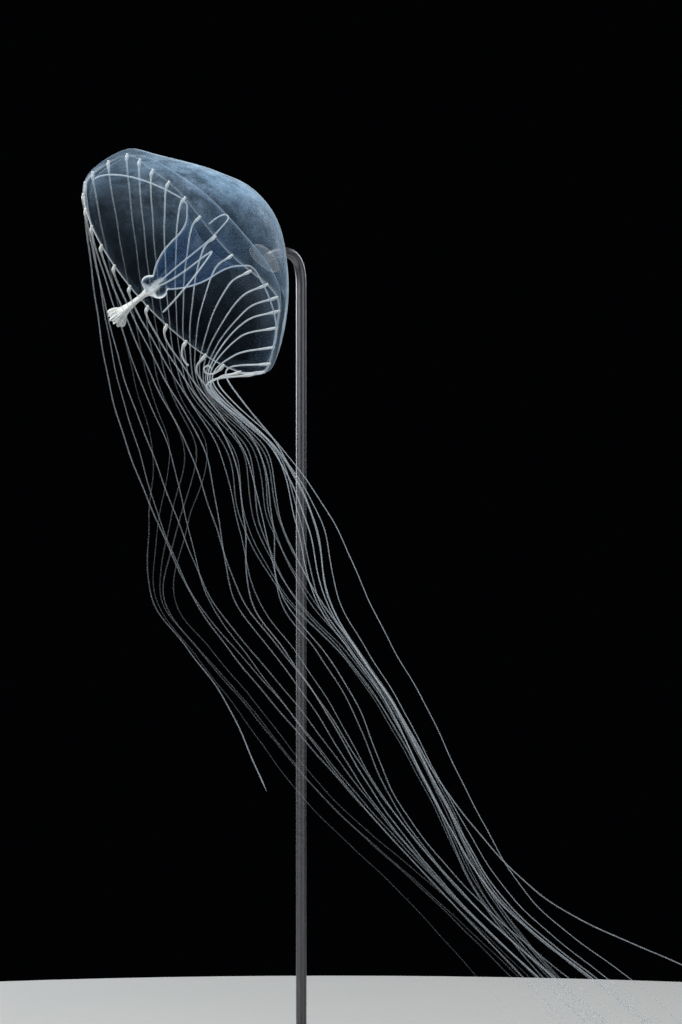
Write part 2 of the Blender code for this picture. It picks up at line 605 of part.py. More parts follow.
def rod_bend():
    """The rod's bent end, from the top of its upright to the pad, which it meets squarely."""
    touch = pad_surface(PAD_ANGLE, PAD_LATITUDE, 2 * GAP + PAD_THICK)
    corner = touch + ROD_REACH * unit(touch - dome_point(PAD_ANGLE, PAD_LATITUDE))
    start = corner - (0.0, 0.0, ROD_REACH)
    t = np.linspace(0.0, 1.0, 8)[:, None]
    return (1 - t) ** 2 * start + 2 * t * (1 - t) * corner + t * t * touch


def build_foot(steel):
    """A round collar on the base, which the rod stands on."""
    x, y, _ = rod_bend()[0]
    floor = BASE_THICK + GAP
    return tube("stand_foot", [(x, y, floor), (x, y, floor + FOOT_HEIGHT)], FOOT_RADIUS, 12, steel)


def build_rod(steel):
    """Upright from its foot, then bent over to the pad."""
    bend = rod_bend()
    x, y, top = bend[0]
    floor = BASE_THICK + FOOT_HEIGHT + 2 * GAP
    upright = [(x, y, floor), (x, y, (floor + top) / 2)]
    return tube("stand_rod", np.vstack((upright, bend)), ROD_RADIUS, 10, steel)


def main():
    for old in list(bpy.data.objects):
        bpy.data.objects.remove(old, do_unlink=True)
    jelly = material("clear_jelly", (0.42, 0.52, 0.62), 0.2, alpha=0.35)
    flesh = material("tentacle_flesh", (0.66, 0.74, 0.82), 0.35, alpha=0.85)
    white = material("white_flesh", (0.82, 0.84, 0.84), 0.45)
    wood = material("base_wood", (0.065, 0.05, 0.038), 0.4)
    steel = material("rod_steel", (0.2, 0.2, 0.215), 0.4, metallic=1.0)
    clear = material("pad_plastic", (0.7, 0.72, 0.74), 0.2, alpha=0.5)
    build_bell(jelly)
    build_velum(jelly)
    build_peduncle(jelly)
    build_stomach(white)
    build_manubrium(white)
    build_lips(white)
    build_canals(white)
    for number in range(ARC_COUNT):
        build_margin_arc(number, flesh)
    for index in range(TENTACLE_COUNT):
        if index not in SHORT_TENTACLES:
            build_tentacle(index, flesh)
    build_base(wood)
    build_foot(steel)
    build_rod(steel)
    build_pad(clear)


main()
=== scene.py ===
"""Looks of a still, life-size jellyfish on a display stand: skin, stand, floor, light and camera."""

import math

import bpy
import numpy as np
from bpy.props import FloatProperty, FloatVectorProperty, PointerProperty
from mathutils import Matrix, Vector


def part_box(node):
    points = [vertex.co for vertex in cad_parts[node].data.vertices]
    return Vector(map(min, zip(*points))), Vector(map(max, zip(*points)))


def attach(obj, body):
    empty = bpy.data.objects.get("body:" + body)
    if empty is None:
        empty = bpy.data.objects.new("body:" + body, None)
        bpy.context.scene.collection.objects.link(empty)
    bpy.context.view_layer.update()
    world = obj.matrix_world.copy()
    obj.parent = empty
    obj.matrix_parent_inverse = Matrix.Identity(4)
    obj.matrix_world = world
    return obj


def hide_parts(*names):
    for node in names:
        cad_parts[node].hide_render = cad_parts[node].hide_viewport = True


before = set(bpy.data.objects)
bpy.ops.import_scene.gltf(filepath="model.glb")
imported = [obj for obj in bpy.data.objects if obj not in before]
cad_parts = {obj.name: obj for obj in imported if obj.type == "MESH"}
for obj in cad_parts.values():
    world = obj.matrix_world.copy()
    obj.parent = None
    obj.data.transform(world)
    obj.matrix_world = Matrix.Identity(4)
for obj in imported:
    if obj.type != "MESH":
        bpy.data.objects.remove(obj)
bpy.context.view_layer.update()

bl_info = {
    "name": "Jellyfish Display Model",
    "version": (1, 0, 0),
    "blender": (4, 5, 0),
    "location": "View3D > Sidebar > Jellyfish",
    "description": "Makes the jellyfish's skin, its stand and a small studio round the solid model",
    "category": "Object",
}

BODY = "root"
MM = 0.001
TAU = 2.0 * math.pi

# Pose of the bell
BELL_CENTRE = np.array((-42.7, 0.0, 267.4)) * MM   # middle of the margin
BELL_TILT = math.radians(38.0)              # the bell's axis above the horizontal
BELL_TURN = math.radians(-27.7)             # its heading from +X, towards -Y

# Bell: a dome of jelly over a hollow
BELL_RADIUS = 39.6 * MM
BELL_HEIGHT = 30.9 * MM
DOME_POWER = 1.74                           # height falls as this power of the cosine
FLAT_DEPTH = 2.4 * MM                       # the dome is flattened on its upper left
FLAT_ANGLE, FLAT_WIDTH = math.radians(151.0), math.radians(26.0)
HOLLOW_RADIUS = 37.4 * MM
HOLLOW_DEPTH = 16.9 * MM
HOLLOW_POWER = 1.25
MARGIN_LIFT = 7.2 * MM, 4.6 * MM            # two waves of the margin's back, right and left
MIDDLE_LIFT = 0.9 * MM                      # and the back's rise between them
LOBE_LIFT = 6.3 * MM                        # one higher lobe at its upper left
LOBE_ANGLE, LOBE_WIDTH = math.radians(164.0), math.radians(17.0)
SQUEEZE = 0.12                              # the bell's right side is pressed in by this share
SQUEEZE_ANGLE, SQUEEZE_WIDTH = math.radians(32.0), math.radians(24.0)
CANAL_ANGLE = math.radians(12.0)            # first of the four radial canals
CANALS = 4

# Margin and velum
TENTACLE_COUNT = 32
RING_RADIUS = 38.8 * MM
RING_DROP = 1.15 * MM                       # the ring's middle under the jelly's edge
RING_THICK = 0.5 * MM

# Cone, stomach and mouth lean aside between two heights
LEAN_FROM, LEAN_TO = 12.0 * MM, -26.0 * MM
LEAN = 3.2 * MM

# The skin's profile from the dome's edge to the mouth: radius and height in mm, in stretches
RING_SIDE = ((39.62, -0.1), (39.6, -0.55), (39.45, -1.0), (39.2, -1.4), (38.85, -1.64), (38.5, -1.62),
             (38.2, -1.4))
VELUM_SIDE = ((37.95, -1.32), (37.4, -1.36), (35.5, -1.74), (33.8, -2.12), (33.42, -2.16), (33.36, -2.04),
              (33.5, -1.94), (35.4, -1.5), (37.0, -1.1), (37.45, -0.7))
HOLLOW_END = 15.5 * MM                      # the roof runs in to this radius
CONE_SIDE = ((13.6, 14.9), (12.0, 14.3), (10.6, 13.4), (9.3, 12.2), (8.3, 10.5), (7.6, 8.5), (7.15, 6.0),
             (6.9, 3.2), (6.5, 0.6), (5.75, -2.2), (4.75, -4.8), (3.7, -6.8), (2.75, -8.3))
CONE_EDGE = 0.15                            # the cone's four edges stand out by this share
CONE_ROUND = 9.0 * MM, 14.0 * MM            # and fade between these radii, where it meets the roof
STOMACH_SIDE = ((2.75, -8.9), (3.3, -9.7), (3.65, -10.8), (3.55, -11.9), (3.0, -12.8), (2.1, -13.4))
TUBE_SIDE = ((1.3, -13.8), (0.9, -15.0), (0.78, -17.0), (0.85, -19.2), (1.1, -21.4), (1.45, -23.2))
LIPS_SIDE = ((1.8, -24.2), (2.25, -25.1), (2.6, -26.1), (2.7, -26.9), (2.4, -27.5), (1.8, -27.3),
             (1.1, -26.5), (0.6, -25.5))
STOMACH_LOBE, TUBE_LOBE = 0.16, 0.08        # four lobes stand out by these shares
LIP_FOLDS = ((4, 0.16, 0.0), (11, 0.1, 1.0), (23, 0.09, 2.3))     # waves, share of the radius, turn
LIP_RUFFLE = 0.4 * MM                       # and how far they wave up and down
LIP_FLARE = 1.0 * MM, 3.0 * MM              # radii between which folds and waves grow

# How milky the jelly is
EDGES = {"dome": 1.0, "ring": 0.4, "velum": 0.05, "roof": 0.8, "cone": 0.5, "stomach": 0.35}  # edge on
THICK_POWER = 3.8                           # the dome thins from the crown as this power of the cosine
CLEAR_SHARE, CLEAR_ANGLE = 0.65, math.radians(320.0)    # and is clearer towards one angle of its front
RING_LINE, RING_LINE_WIDTH = 38.8 * MM, 0.42 * MM   # radius of the milky ring canal in the margin
RING_MILK = 0.75, 0.35                      # how milky it is at the front and at the back

# Tentacles
LEAVE_INWARD = 1.0, 0.6                     # turned from the axis to the bell's middle, left and right
LEAVE_FLAT = 0.4                            # share of its front-to-back slant that is kept
STIFF_LENGTH = 1.2 * MM, 11.0 * MM          # leaves its bulb straight for this far, left and right
STIFF_POWER = 2.5                           # how quickly that grows towards the right
STIFF_NEAR = 5.0 * MM                       # and how much further the lower right ones do
STIFF_ANGLE, STIFF_WIDTH = math.radians(345.0), math.radians(25.0)
LEVEL_CLEAR = 3.0 * MM                      # the stream starts no nearer than this below
TIP_CLEAR = 8.0 * MM                        # and its last level is no nearer than this above the tip
LEAVE_DOWN, NEAR_ANGLE, NEAR_WIDTH = 1.6, math.radians(285.0), math.radians(35.0)   # the near ones drop
# Tentacles that have lost their ends: steps from the root, in mm. The second one is curled
SHORT_TENTACLES = {26: ((-1.0, 0.4, -1.7), (-1.1, 0.6, -4.0), (0.1, 0.7, -6.2), (0.9, 0.7, -6.7)),
                   28: ((-1.2, -0.2, -1.3), (-3.0, -0.3, -2.3), (-4.8, -0.5, -2.1), (-5.4, -0.8, -0.8),
                        (-4.3, -1.2, 0.0), (-3.2, -1.6, -0.8))}
# Strays from their group: sideways shift at the tip, height of the tip, how late it leaves
STRAYS = {16: (-14 * MM, 113 * MM, 2.0), 15: (-11 * MM, 36 * MM, 1.2), 3: (29 * MM, 61 * MM, 4.0)}
STRAY_FROM = 165.0 * MM
MOUTH_CLEAR, MOUTH_WIDTH = 5.5 * MM, 9.0 * MM       # the tentacles part round the mouth
MOUTH_ENDS = np.array((-9.0, -30.0)) * MM   # heights between which they do
BEHIND_FROM = 0.15                          # sine of the margin angle from which they pass behind it

# Under the bell the tentacles hang between two edges: height, left edge and right edge
UNDER_BELL = np.array(((235, -66, -33.5), (214, -62, -13), (193, -58, 3), (170, -52, 15))) * MM
STREAM_WIDE = math.radians(25.3)            # margin angle whose tentacles keep to the right edge
HANG_DEPTH = 24.0 * MM                      # half the bundle's depth there
HANG_STAGGER = 3.0 * MM                     # every other far tentacle hangs nearer by up to this
FAR_SHIFT = 4.5 * MM                        # the far tentacles come down further left
CROWD = 2.6                                 # crowding to the right
SETTLE_START, SETTLE_END = 232.0 * MM, 168.0 * MM   # heights between which they join their groups
# Groups on the way down. The members stand in order from the left, or else from the front. Then
# come the group's middle, half width, depth and half depth at each level
LEVELS = np.array((235, 214, 193, 170, 155, 140, 111, 82, 52, 27)) * MM
GROUPS = (
    ("left", (16, 15, 14, 13, 12),
     (-66, -62, -57, -50, -39, -26, -2, 30, 61, 87), (3, 3, 3.5, 3.5, 3.2, 3, 3, 3.5, 4, 4.5),
     (10, 10, 9, 8, 8, 8, 8, 9, 10, 10), (4, 4, 4, 4, 3.5, 3, 3, 3, 3, 3)),
    ("left", (17, 18, 19, 20, 21, 22, 23, 24, 25, 27),
     (-49, -43, -36, -27, -16, -5, 14, 39, 71, 98), (13, 13, 15, 16, 16, 14, 7, 5, 8.5, 11.5),
     (-20, -18, -15, -12, -11, -10, -9, -9, -9, -9), (9, 8, 7, 6, 5.5, 5, 5, 5, 5, 5)),
    ("left", (11, 10, 9, 8, 7, 6, 5, 4),
     (-41, -35, -27, -8, 5, 16, 32, 46, 71, 96), (9, 8, 7, 6.5, 4, 3.4, 3.4, 3.2, 3.5, 4.5),
     (20, 18, 16, 14, 12, 11, 10, 10, 10, 10), (9, 8, 6, 5, 4.8, 4.5, 4.5, 4.5, 4.5, 4.5)),
    ("front", (29, 30, 0, 1, 2, 3),
     (-31, -20, -10, -1, 8, 18, 33, 51, 87, 117), (3, 6, 7.5, 4, 3.4, 3, 3, 3, 4, 5),
     (2, 1, 0, -1, -1, -1, 0, 0, -1, -1), (8, 7, 5, 4, 3.6, 3.4, 3.4, 3.4, 3.6, 4)),
    ("left", (31,), (-34, -14, 0, 11, 19, 28, 41.5, 59, 97, 118), (0,) * 10, (-6,) * 10, (0,) * 10))
SLOT_WIDE = 0.92                            # the outer slots of a group, as a share of its half size
SLOT_TURNS = 0.75, -0.45, 0.25, -0.85       # and how far aside of that order its slots lie, in turn
TWIST = math.radians(50.0)                  # slow turn of a group on its way down
WAVE, WAVE_LENGTH = 0.4 * MM, 85.0 * MM
LOWEST_TIP, TIP_SPREAD = 27.0 * MM, 15.0 * MM
GOLDEN = 0.618034
BEND_WEIGHT = 45.0 * MM                     # a radian's bend counts as this much length
RIPPLE, RIPPLE_LENGTH = 0.1 * MM, 17.0 * MM         # small waves of a single strand
RIPPLE_GROWS = 12.0 * MM                    # length from the root over which they grow
ROOT_FADE = 20.0 * MM                       # length over which a strand thins from its root
BULB_AT, BULB_LENGTH = 0.9 * MM, 0.85 * MM
THIN_TO_THICK = 0.8, 1.25                   # the thinnest and thickest strands, as shares of the usual
KNOB, KNOB_FROM_TIP, KNOB_LENGTH = 0.14 * MM, 0.4 * MM, 0.5 * MM    # the knob on a broken end
TIP_ROUND = 0.6 * MM                        # length over which a tip closes

STRAND_MILK = 0.08, 0.30, 0.16, 0.32, 0.42  # how solid each group's strands look
SHORT_MILK = 0.85                           # and the short ones
ROOT_MILK = 0.22, 0.90                      # how solid a root looks, across from the stream and at it
STRAY_MILK = {16: 0.4}                      # and how much more solid one of the strays is at its tip
MILK_FADE, CREAM_FADE = 12.0 * MM, 7.0 * MM         # lengths over which a strand turns from its root's look

# Fineness of the surfaces
COLUMNS = 256
DOME_ROWS, HOLLOW_ROWS = 60, 46
CURVE_STEPS = 3                             # rows for each step of a listed profile
STRAND_RINGS, STRAND_SIDES = 108, 7
CANAL_SIDES = 8
ROD_SIDES, BEND_ROWS, UPRIGHT_ROWS = 32, 33, 23
BASE_COLUMNS, PAD_COLUMNS, FLOOR_COLUMNS = 192, 48, 128

# Stand
FOOT_RADIUS, FOOT_HEIGHT = 5.0 * MM, 5.0 * MM
FOOT_ROUND, FOOT_BEVEL = 0.9 * MM, 0.3 * MM         # its upper and lower edge
ROD_FLARE = 0.5 * MM                        # where the rod leaves it
PAD_ANGLE, PAD_LATITUDE = math.radians(72.0), math.radians(70.0)    # place on the dome's back
PAD_SPAN = math.radians(9.0)
PAD_GAP, PAD_THICK = 0.3 * MM, 1.4 * MM
ROD_REACH = 14.0 * MM

# Camera and studio
CAMERA_PLACE = (3.2 * MM, -1.129, 195.8 * MM)
LENS, SENSOR = 135.0, 36.0
# Lamps: name, place in metres, width, height, share of the power, colour
LAMPS = (("key", (-0.95, -0.75, 0.85), 0.7, 0.7, 1.35, (1.0, 1.0, 0.99)),
         ("fill", (0.9, -0.9, 0.55), 0.8, 0.8, 0.35, (0.93, 0.96, 1.0)),
         ("rim_left", (-0.8, 0.75, 0.55), 0.5, 0.7, 1.0, (0.9, 0.95, 1.0)),
         ("rim_right", (0.85, 0.7, 0.7), 0.5, 0.7, 0.6, (0.92, 0.96, 1.0)),
         ("top", (-0.15, -0.1, 1.25), 0.8, 0.8, 1.3, (1.0, 1.0, 1.0)))
LAMP_AIM = (0.0, 0.0, 0.2)


# ---------------------------------------------------------------- settings

def colour(name, description, default):
    return FloatVectorProperty(name=name, description=description, default=default, size=3, subtype="COLOR",
                               min=0.0, max=1.0)


def length(name, description, default):
    return FloatProperty(name=name, description=description, default=default, min=0.0, precision=5,
                         subtype="DISTANCE", unit="LENGTH")


def share(name, description, default):
    return FloatProperty(name=name, description=description, default=default, min=0.0, max=1.0,
                         subtype="FACTOR")


class JellyfishSkinSettings(bpy.types.PropertyGroup):
    """Sizes and colours of the animal."""
    root_radius: length("Root", "Half the thickness of a tentacle at its root", 0.30 * MM)
    strand_radius: length("Strand", "Half the thickness of a tentacle along its stream", 0.15 * MM)
    bulb_radius: length("Bulb", "Half the thickness of the bulb that a tentacle grows from", 0.58 * MM)
    canal_radius: length("Canal", "Half the thickness of a radial canal", 0.24 * MM)
    jelly: colour("Jelly", "Colour of the clear jelly", (0.34, 0.56, 0.82))
    deep: colour("Deep jelly", "Colour of the thick jelly of the cone", (0.07, 0.25, 0.62))
    pale: colour("Pale edge", "Colour of the jelly where it is seen edge on", (0.74, 0.88, 0.97))
    strand: colour("Strands", "Colour of the tentacles and canals", (0.72, 0.80, 0.87))
    cream: colour("Cream", "Colour of the mouth, stomach and bulbs", (0.92, 0.95, 0.93))
    thin: share("Thin jelly", "How milky one skin of the jelly is where it is thin, square on", 0.01)
    thick: share("Thick jelly", "How milky it is at the crown, square on", 0.54)
    edge: share("Edge", "How milky the jelly is, edge on", 0.85)


class JellyfishStandSettings(bpy.types.PropertyGroup):
    """Sizes and colours of the display stand."""
    rod_radius: length("Rod", "Half the thickness of the rod", 1.6 * MM)
    edge_radius: length("Edge", "Rounding of the base's edges", 1.5 * MM)
    wood: colour("Wood", "Colour of the stained wood", (0.040, 0.030, 0.024))
    grain: colour("Grain", "Colour of the lighter grain", (0.105, 0.075, 0.055))
    steel: colour("Steel", "Colour of the rod", (0.20, 0.20, 0.215))
    clear: colour("Clear pad", "Colour of the clear pad", (0.75, 0.80, 0.82))


class JellyfishStageSettings(bpy.types.PropertyGroup):
    """The studio round the model."""
    floor_radius: length("Floor", "Radius of the round floor", 0.5)
    floor: colour("Floor", "Colour of the floor", (0.50, 0.50, 0.49))
    backdrop: colour("Backdrop", "Colour all round the studio", (0.0006, 0.0007, 0.001))
    power: FloatProperty(name="Lamps", description="Power of a lamp whose share is 1", default=7.8, min=0.0,
                         subtype="POWER", unit="POWER")


# ---------------------------------------------------------------- shape functions

def unit(vectors):
    """Vectors divided by their lengths."""
    return vectors / np.linalg.norm(vectors, axis=-1, keepdims=True)


def circle(count):
    """Evenly spaced angles round a circle."""
    return TAU * np.arange(count) / count


def between(pair, part):
    """The value that lies at a part of the way from the first of a pair to the second."""
    return pair[0] + (pair[1] - pair[0]) * part


AXIS = np.array((math.cos(BELL_TILT) * math.cos(BELL_TURN),
                 math.cos(BELL_TILT) * math.sin(BELL_TURN),
                 math.sin(BELL_TILT)))      # from the opening to the apex
WIDE = unit(np.cross((0.0, 1.0, 0.0), AXIS))        # along the margin's lower right
FAR = np.cross(AXIS, WIDE)                  # along the margin's back


def ease(part):
    """0 below 0 and 1 above 1, with a smooth S between."""
    part = np.clip(part, 0.0, 1.0)
    return part * part * (3.0 - 2.0 * part)


def turned(angle, middle):
    """The angle from a middle, between minus half a turn and half a turn."""
    return np.angle(np.exp(1j * (angle - middle)))


def bump(angle, middle, width):
    """A bell-shaped bump of height 1 round a circle: e to the minus square of the angle over the width."""
    return np.exp(-(turned(angle, middle) / width) ** 2)


def margin_lift(angle):
    """Height that the margin's waves add: squared sines on the back half, and a bump at one end."""
    tall = np.where(np.cos(angle) > 0.0, *MARGIN_LIFT)
    waves = tall * np.sin(2.0 * angle) ** 2 + MIDDLE_LIFT * np.sin(angle) ** 4
    return waves * (np.sin(angle) > 0.0) + LOBE_LIFT * bump(angle, LOBE_ANGLE, LOBE_WIDTH)


def on_bell(angle, radius, height):
    """World points at an angle round the bell's axis, a radius from it and a height above the margin.

    The margin's lift fades towards the axis as the radius squared, and with height.
    """
    angle, radius, height = np.broadcast_arrays(angle, radius, height)
    part = (radius / BELL_RADIUS) ** 2 * (1.0 - np.clip(height / BELL_HEIGHT, 0.0, 1.0))
    out = np.cos(angle)[..., None] * WIDE + np.sin(angle)[..., None] * FAR
    rise = height + margin_lift(angle) * part
    pressed = radius * (1.0 - SQUEEZE * bump(angle, SQUEEZE_ANGLE, SQUEEZE_WIDTH))
    return BELL_CENTRE + pressed[..., None] * out + rise[..., None] * AXIS


def on_cone(angle, radius, height):
    """Points round the hanging cone's own axis, which leans as it goes down."""
    shift = -LEAN * ease((LEAN_FROM - np.asarray(height, float)) / (LEAN_FROM - LEAN_TO))
    return on_bell(angle, radius, height) + shift[..., None] * WIDE


def dome_point(angle, latitude):
    """The dome: radius by the sine of the latitude, height by a power of its cosine, less a flat."""
    height = BELL_HEIGHT * np.maximum(np.cos(latitude), 0.0) ** DOME_POWER
    height = height - FLAT_DEPTH * bump(angle, FLAT_ANGLE, FLAT_WIDTH) * np.sin(2.0 * latitude) ** 2
    return on_bell(angle, BELL_RADIUS * np.sin(latitude), height)


def smooth_curve(points, steps=24):
    """A Catmull-Rom curve through the points, its knots spaced by the root of their distance.

    A stretch blends its four points in pairs, those blends in pairs, and the last two once more,
    each in proportion to the knots on either side.
    """
    points = np.asarray(points, float)
    padded = np.vstack((2 * points[0] - points[1], points, 2 * points[-1] - points[-2]))
    pieces = []
    for four in zip(padded, padded[1:], padded[2:], padded[3:]):
        knots = np.cumsum([0.0] + [math.sqrt(np.linalg.norm(b - a)) for a, b in zip(four, four[1:])])
        t = np.linspace(knots[1], knots[2], steps, endpoint=False)[:, None]
        for first, reach in ((0, 1), (0, 2), (1, 1)):
            four = [((knots[k + reach] - t) * a + (t - knots[k]) * b) / (knots[k + reach] - knots[k])
                    for k, (a, b) in enumerate(zip(four, four[1:]), first)]
        pieces += four
    return np.vstack(pieces + [points[-1:]])


def arc_lengths(curve):
    """Length from the start of a curve to each of its points."""
    steps = np.linalg.norm(np.diff(curve, axis=0), axis=1)
    return np.concatenate(([0.0], np.cumsum(steps)))


def points_at(curve, lengths):
    """Points of a curve at given lengths along it."""
    along = arc_lengths(curve)
    return np.stack([np.interp(lengths, along, curve[:, k]) for k in range(3)], axis=1)


def spaced_lengths(curve, count):
    """Lengths to places on a curve from end to end, closer together where it bends.

    They are equal steps of a measure that adds the length to BEND_WEIGHT times the angle turned.
    """
    along = arc_lengths(curve)
    steps = unit(np.diff(curve, axis=0))
    bends = np.arccos(np.clip(np.sum(steps[:-1] * steps[1:], axis=1), -1.0, 1.0))
    measure = along + BEND_WEIGHT * np.concatenate(([0.0], np.cumsum(bends), [np.sum(bends)]))
    return np.interp(np.linspace(0.0, measure[-1], count), measure, along)


# ---------------------------------------------------------------- routes of the tentacles

def root_angle(index):
    """Where a tentacle grows on the margin: they stand evenly round it."""
    return TAU * (index + 0.5) / TENTACLE_COUNT


def right_share(angle):
    """1 at the stream's side of the margin and 0 across from it, as a cosine."""
    return 0.5 + 0.5 * math.cos(angle - STREAM_WIDE)


def varied(number):
    """A share from 0 to 1 that differs between neighbours: the fraction of a golden multiple."""
    return GOLDEN * number % 1.0


def group_point(index, height):
    """Where a tentacle's slot in its group lies at a height: across the stream, and in depth."""
    order_from, members, *rows = next(group for group in GROUPS if index in group[1])
    middle, wide, back, deep = (np.interp(height, LEVELS[::-1], np.array(row[::-1]) * MM) for row in rows)
    order = members.index(index)
    u = SLOT_WIDE * (2.0 * order / max(len(members) - 1, 1) - 1.0)
    v = SLOT_TURNS[order % len(SLOT_TURNS)] * math.sqrt(1.0 - 0.7 * u * u)
    if order_from == "front":
        u, v = v, u
    turn = TWIST * (LEVELS[0] - height) / (LEVELS[0] - LEVELS[-1])
    return (middle + wide * (u * math.cos(turn) + v * math.sin(turn)),
            back + deep * (v * math.cos(turn) - u * math.sin(turn)))


def bundle_point(index, height):
    """Where a tentacle crosses a height of the stream.

    Under the bell its angle on the margin spreads it evenly across the bundle, crowded to the
    right. Lower down it joins its group, and it waves a little.
    """
    angle = root_angle(index)
    levels, lefts, rights = UNDER_BELL[::-1].T
    left, right = np.interp(height, levels, lefts), np.interp(height, levels, rights)
    spread = 1.0 - (abs(turned(angle, STREAM_WIDE)) / math.pi) ** CROWD
    hanging = np.array((left + (right - left) * spread - FAR_SHIFT * max(math.sin(angle), 0.0),
                        HANG_DEPTH * math.sin(angle)
                        - HANG_STAGGER * (index % 2) * max(math.sin(angle), 0.0) ** 6))
    settle = ease((SETTLE_START - height) / (SETTLE_START - SETTLE_END))
    phase = TAU * (height / WAVE_LENGTH + GOLDEN * index)
    wave = WAVE * settle * np.array((math.sin(phase), math.cos(1.3 * phase)))
    x, y = hanging + settle * (np.array(group_point(index, height)) - hanging) + wave
    return np.array((x, y, height))


def part_round_mouth(points, side_of_mouth):
    """Bend a tentacle back or forward, on its own side, where it passes the mouth tube.

    The push is a soft ramp that keeps it a set distance away, faded out by a bell curve of the
    distance seen from the front.
    """
    start, end = on_cone(0.0, 0.0, MOUTH_ENDS)
    line = end - start
    flat = line * (1.0, 0.0, 1.0)
    part = np.clip((points - start) @ flat / (flat @ flat), 0.0, 1.0)
    away = points - start - part[:, None] * line
    near = np.exp(-(away[:, 0] ** 2 + away[:, 2] ** 2) / MOUTH_WIDTH ** 2)
    short = MOUTH_CLEAR - side_of_mouth * away[:, 1]
    push = 0.5 * (short + np.sqrt(short ** 2 + MM ** 2))
    return points + (side_of_mouth * near * push)[:, None] * (0.0, 1.0, 0.0)


def tentacle_curve(index):
    """The whole route of one tentacle, from its bulb to its tip."""
    angle = root_angle(index)
    root = on_bell(angle, RING_RADIUS, -RING_DROP - RING_THICK)
    if index in SHORT_TENTACLES:
        return smooth_curve(np.vstack((root, root + np.array(SHORT_TENTACLES[index]) * MM)))
    to_right = right_share(angle)
    inward = -math.cos(angle) * WIDE - math.sin(angle) * FAR
    heading = unit(between(LEAVE_INWARD, to_right) * inward - AXIS) * (1.0, LEAVE_FLAT, 1.0)
    heading = unit(heading - (0.0, 0.0, LEAVE_DOWN * bump(angle, NEAR_ANGLE, NEAR_WIDTH)))
    stiff = between(STIFF_LENGTH, to_right ** STIFF_POWER)
    start = root + (stiff + STIFF_NEAR * bump(angle, STIFF_ANGLE, STIFF_WIDTH)) * heading
    shift, tip, late = STRAYS.get(index, (0.0, LOWEST_TIP + TIP_SPREAD * varied(index), 1.0))
    below = []
    for level in [level for level in LEVELS if tip + TIP_CLEAR < level < start[2] - LEVEL_CLEAR] + [tip]:
        strayed = np.clip((STRAY_FROM - level) / (STRAY_FROM - tip), 0.0, 1.0) ** late
        below.append(bundle_point(index, level) + np.array((shift * strayed, 0.0, 0.0)))
    curve = smooth_curve([root, start] + below)
    return part_round_mouth(curve, 1.0 if math.sin(angle) > BEHIND_FROM else -1.0)


# ---------------------------------------------------------------- meshes from grids

class Surface:
    """Gathers grids of points into one mesh, with material slots, values at the points and a map."""
    VALUES = "milk", "deep", "cream", "thick", "edge"

    def __init__(self, value_names=()):
        self.points, self.faces, self.corners, self.slots = [], [], [], []
        self.values = {name: [] for name in value_names}
        self.count = 0

    def add(self, grid, slot=0, patch=(0.0, 0.0, 1.0, 1.0), start=None, end=None, **values):
        """Add a grid, rows by columns, closed round its columns, with a pole at either end.

        Each cell is one quad and each pole a fan. The map spreads rows by their length and columns
        evenly over a patch. slot is one number or one for each band between rows.
        """
        rows, columns = grid.shape[:2]
        number = self.count + np.arange(rows * columns).reshape(rows, columns)
        after = np.roll(number, -1, axis=1)
        along = arc_lengths(grid.mean(axis=1)) + arc_lengths(grid[:, 0])
        along = between((patch[1], patch[3]), along / along[-1])
        left = between((patch[0], patch[2]), np.arange(columns) / columns)
        right = left + (patch[2] - patch[0]) / columns
        quads = np.stack((number[:-1], number[1:], after[1:], after[:-1]), axis=-1)
        self.faces += quads.reshape(-1, 4).tolist()
        low, high = (np.repeat(v[:, None], columns, axis=1) for v in (along[:-1], along[1:]))
        left, right = (np.repeat(v[None, :], rows - 1, axis=0) for v in (left, right))
        self.corners.append(np.stack((left, low, left, high, right, high, right, low), -1).reshape(-1, 2))
        bands = np.broadcast_to(slot, rows - 1)
        self.slots.append(np.repeat(bands, columns))
        self.points.append(grid.reshape(-1, 3))
        self.count += rows * columns
        spread = {name: np.broadcast_to(values.get(name, 0.0), (rows, columns)) for name in self.values}
        for name in self.values:
            self.values[name].append(spread[name].ravel())
        for point, row, edge in ((start, 0, along[0]), (end, rows - 1, along[-1])):
            if point is None:
                continue
            ring, following = number[row], after[row]
            pole = np.full(columns, self.count)
            fan = (pole, ring, following) if row == 0 else (ring, pole, following)
            self.faces += np.stack(fan, axis=-1).tolist()
            spots = np.stack((left[0], np.full(columns, edge), right[0], np.full(columns, edge)), -1)
            corners = np.stack((spots[:, :2], spots[:, :2], spots[:, 2:]), axis=1)
            self.corners.append(corners.reshape(-1, 2))
            self.slots.append(np.full(columns, bands[min(row, rows - 2)]))
            self.points.append(np.reshape(point, (1, 3)))
            self.count += 1
            for name in self.values:
                self.values[name].append(spread[name][row].mean(keepdims=True))

    def build(self, name, materials):
        """Put the gathered arrays into a mesh object at the origin."""
        mesh = bpy.data.meshes.new(name)
        mesh.from_pydata(np.vstack(self.points).tolist(), [], self.faces)
        mesh.polygons.foreach_set("material_index", np.concatenate(self.slots).astype(np.int32))
        layer = mesh.uv_layers.new(name="OFBake")
        layer.data.foreach_set("uv", np.vstack(self.corners).astype(np.float32).ravel())
        for label, parts in self.values.items():
            attribute = mesh.attributes.new(label, "FLOAT", "POINT")
            attribute.data.foreach_set("value", np.concatenate(parts).astype(np.float32))
        for finish in materials:
            mesh.materials.append(finish)
        mesh.shade_smooth()
        mesh.update()
        piece = bpy.data.objects.new(name, mesh)
        bpy.context.scene.collection.objects.link(piece)
        return piece


def plain_piece(name, finish, grid, **poles):
    """A piece of one grid and one material."""
    surface = Surface()
    surface.add(grid, **poles)
    return surface.build(name, [finish])


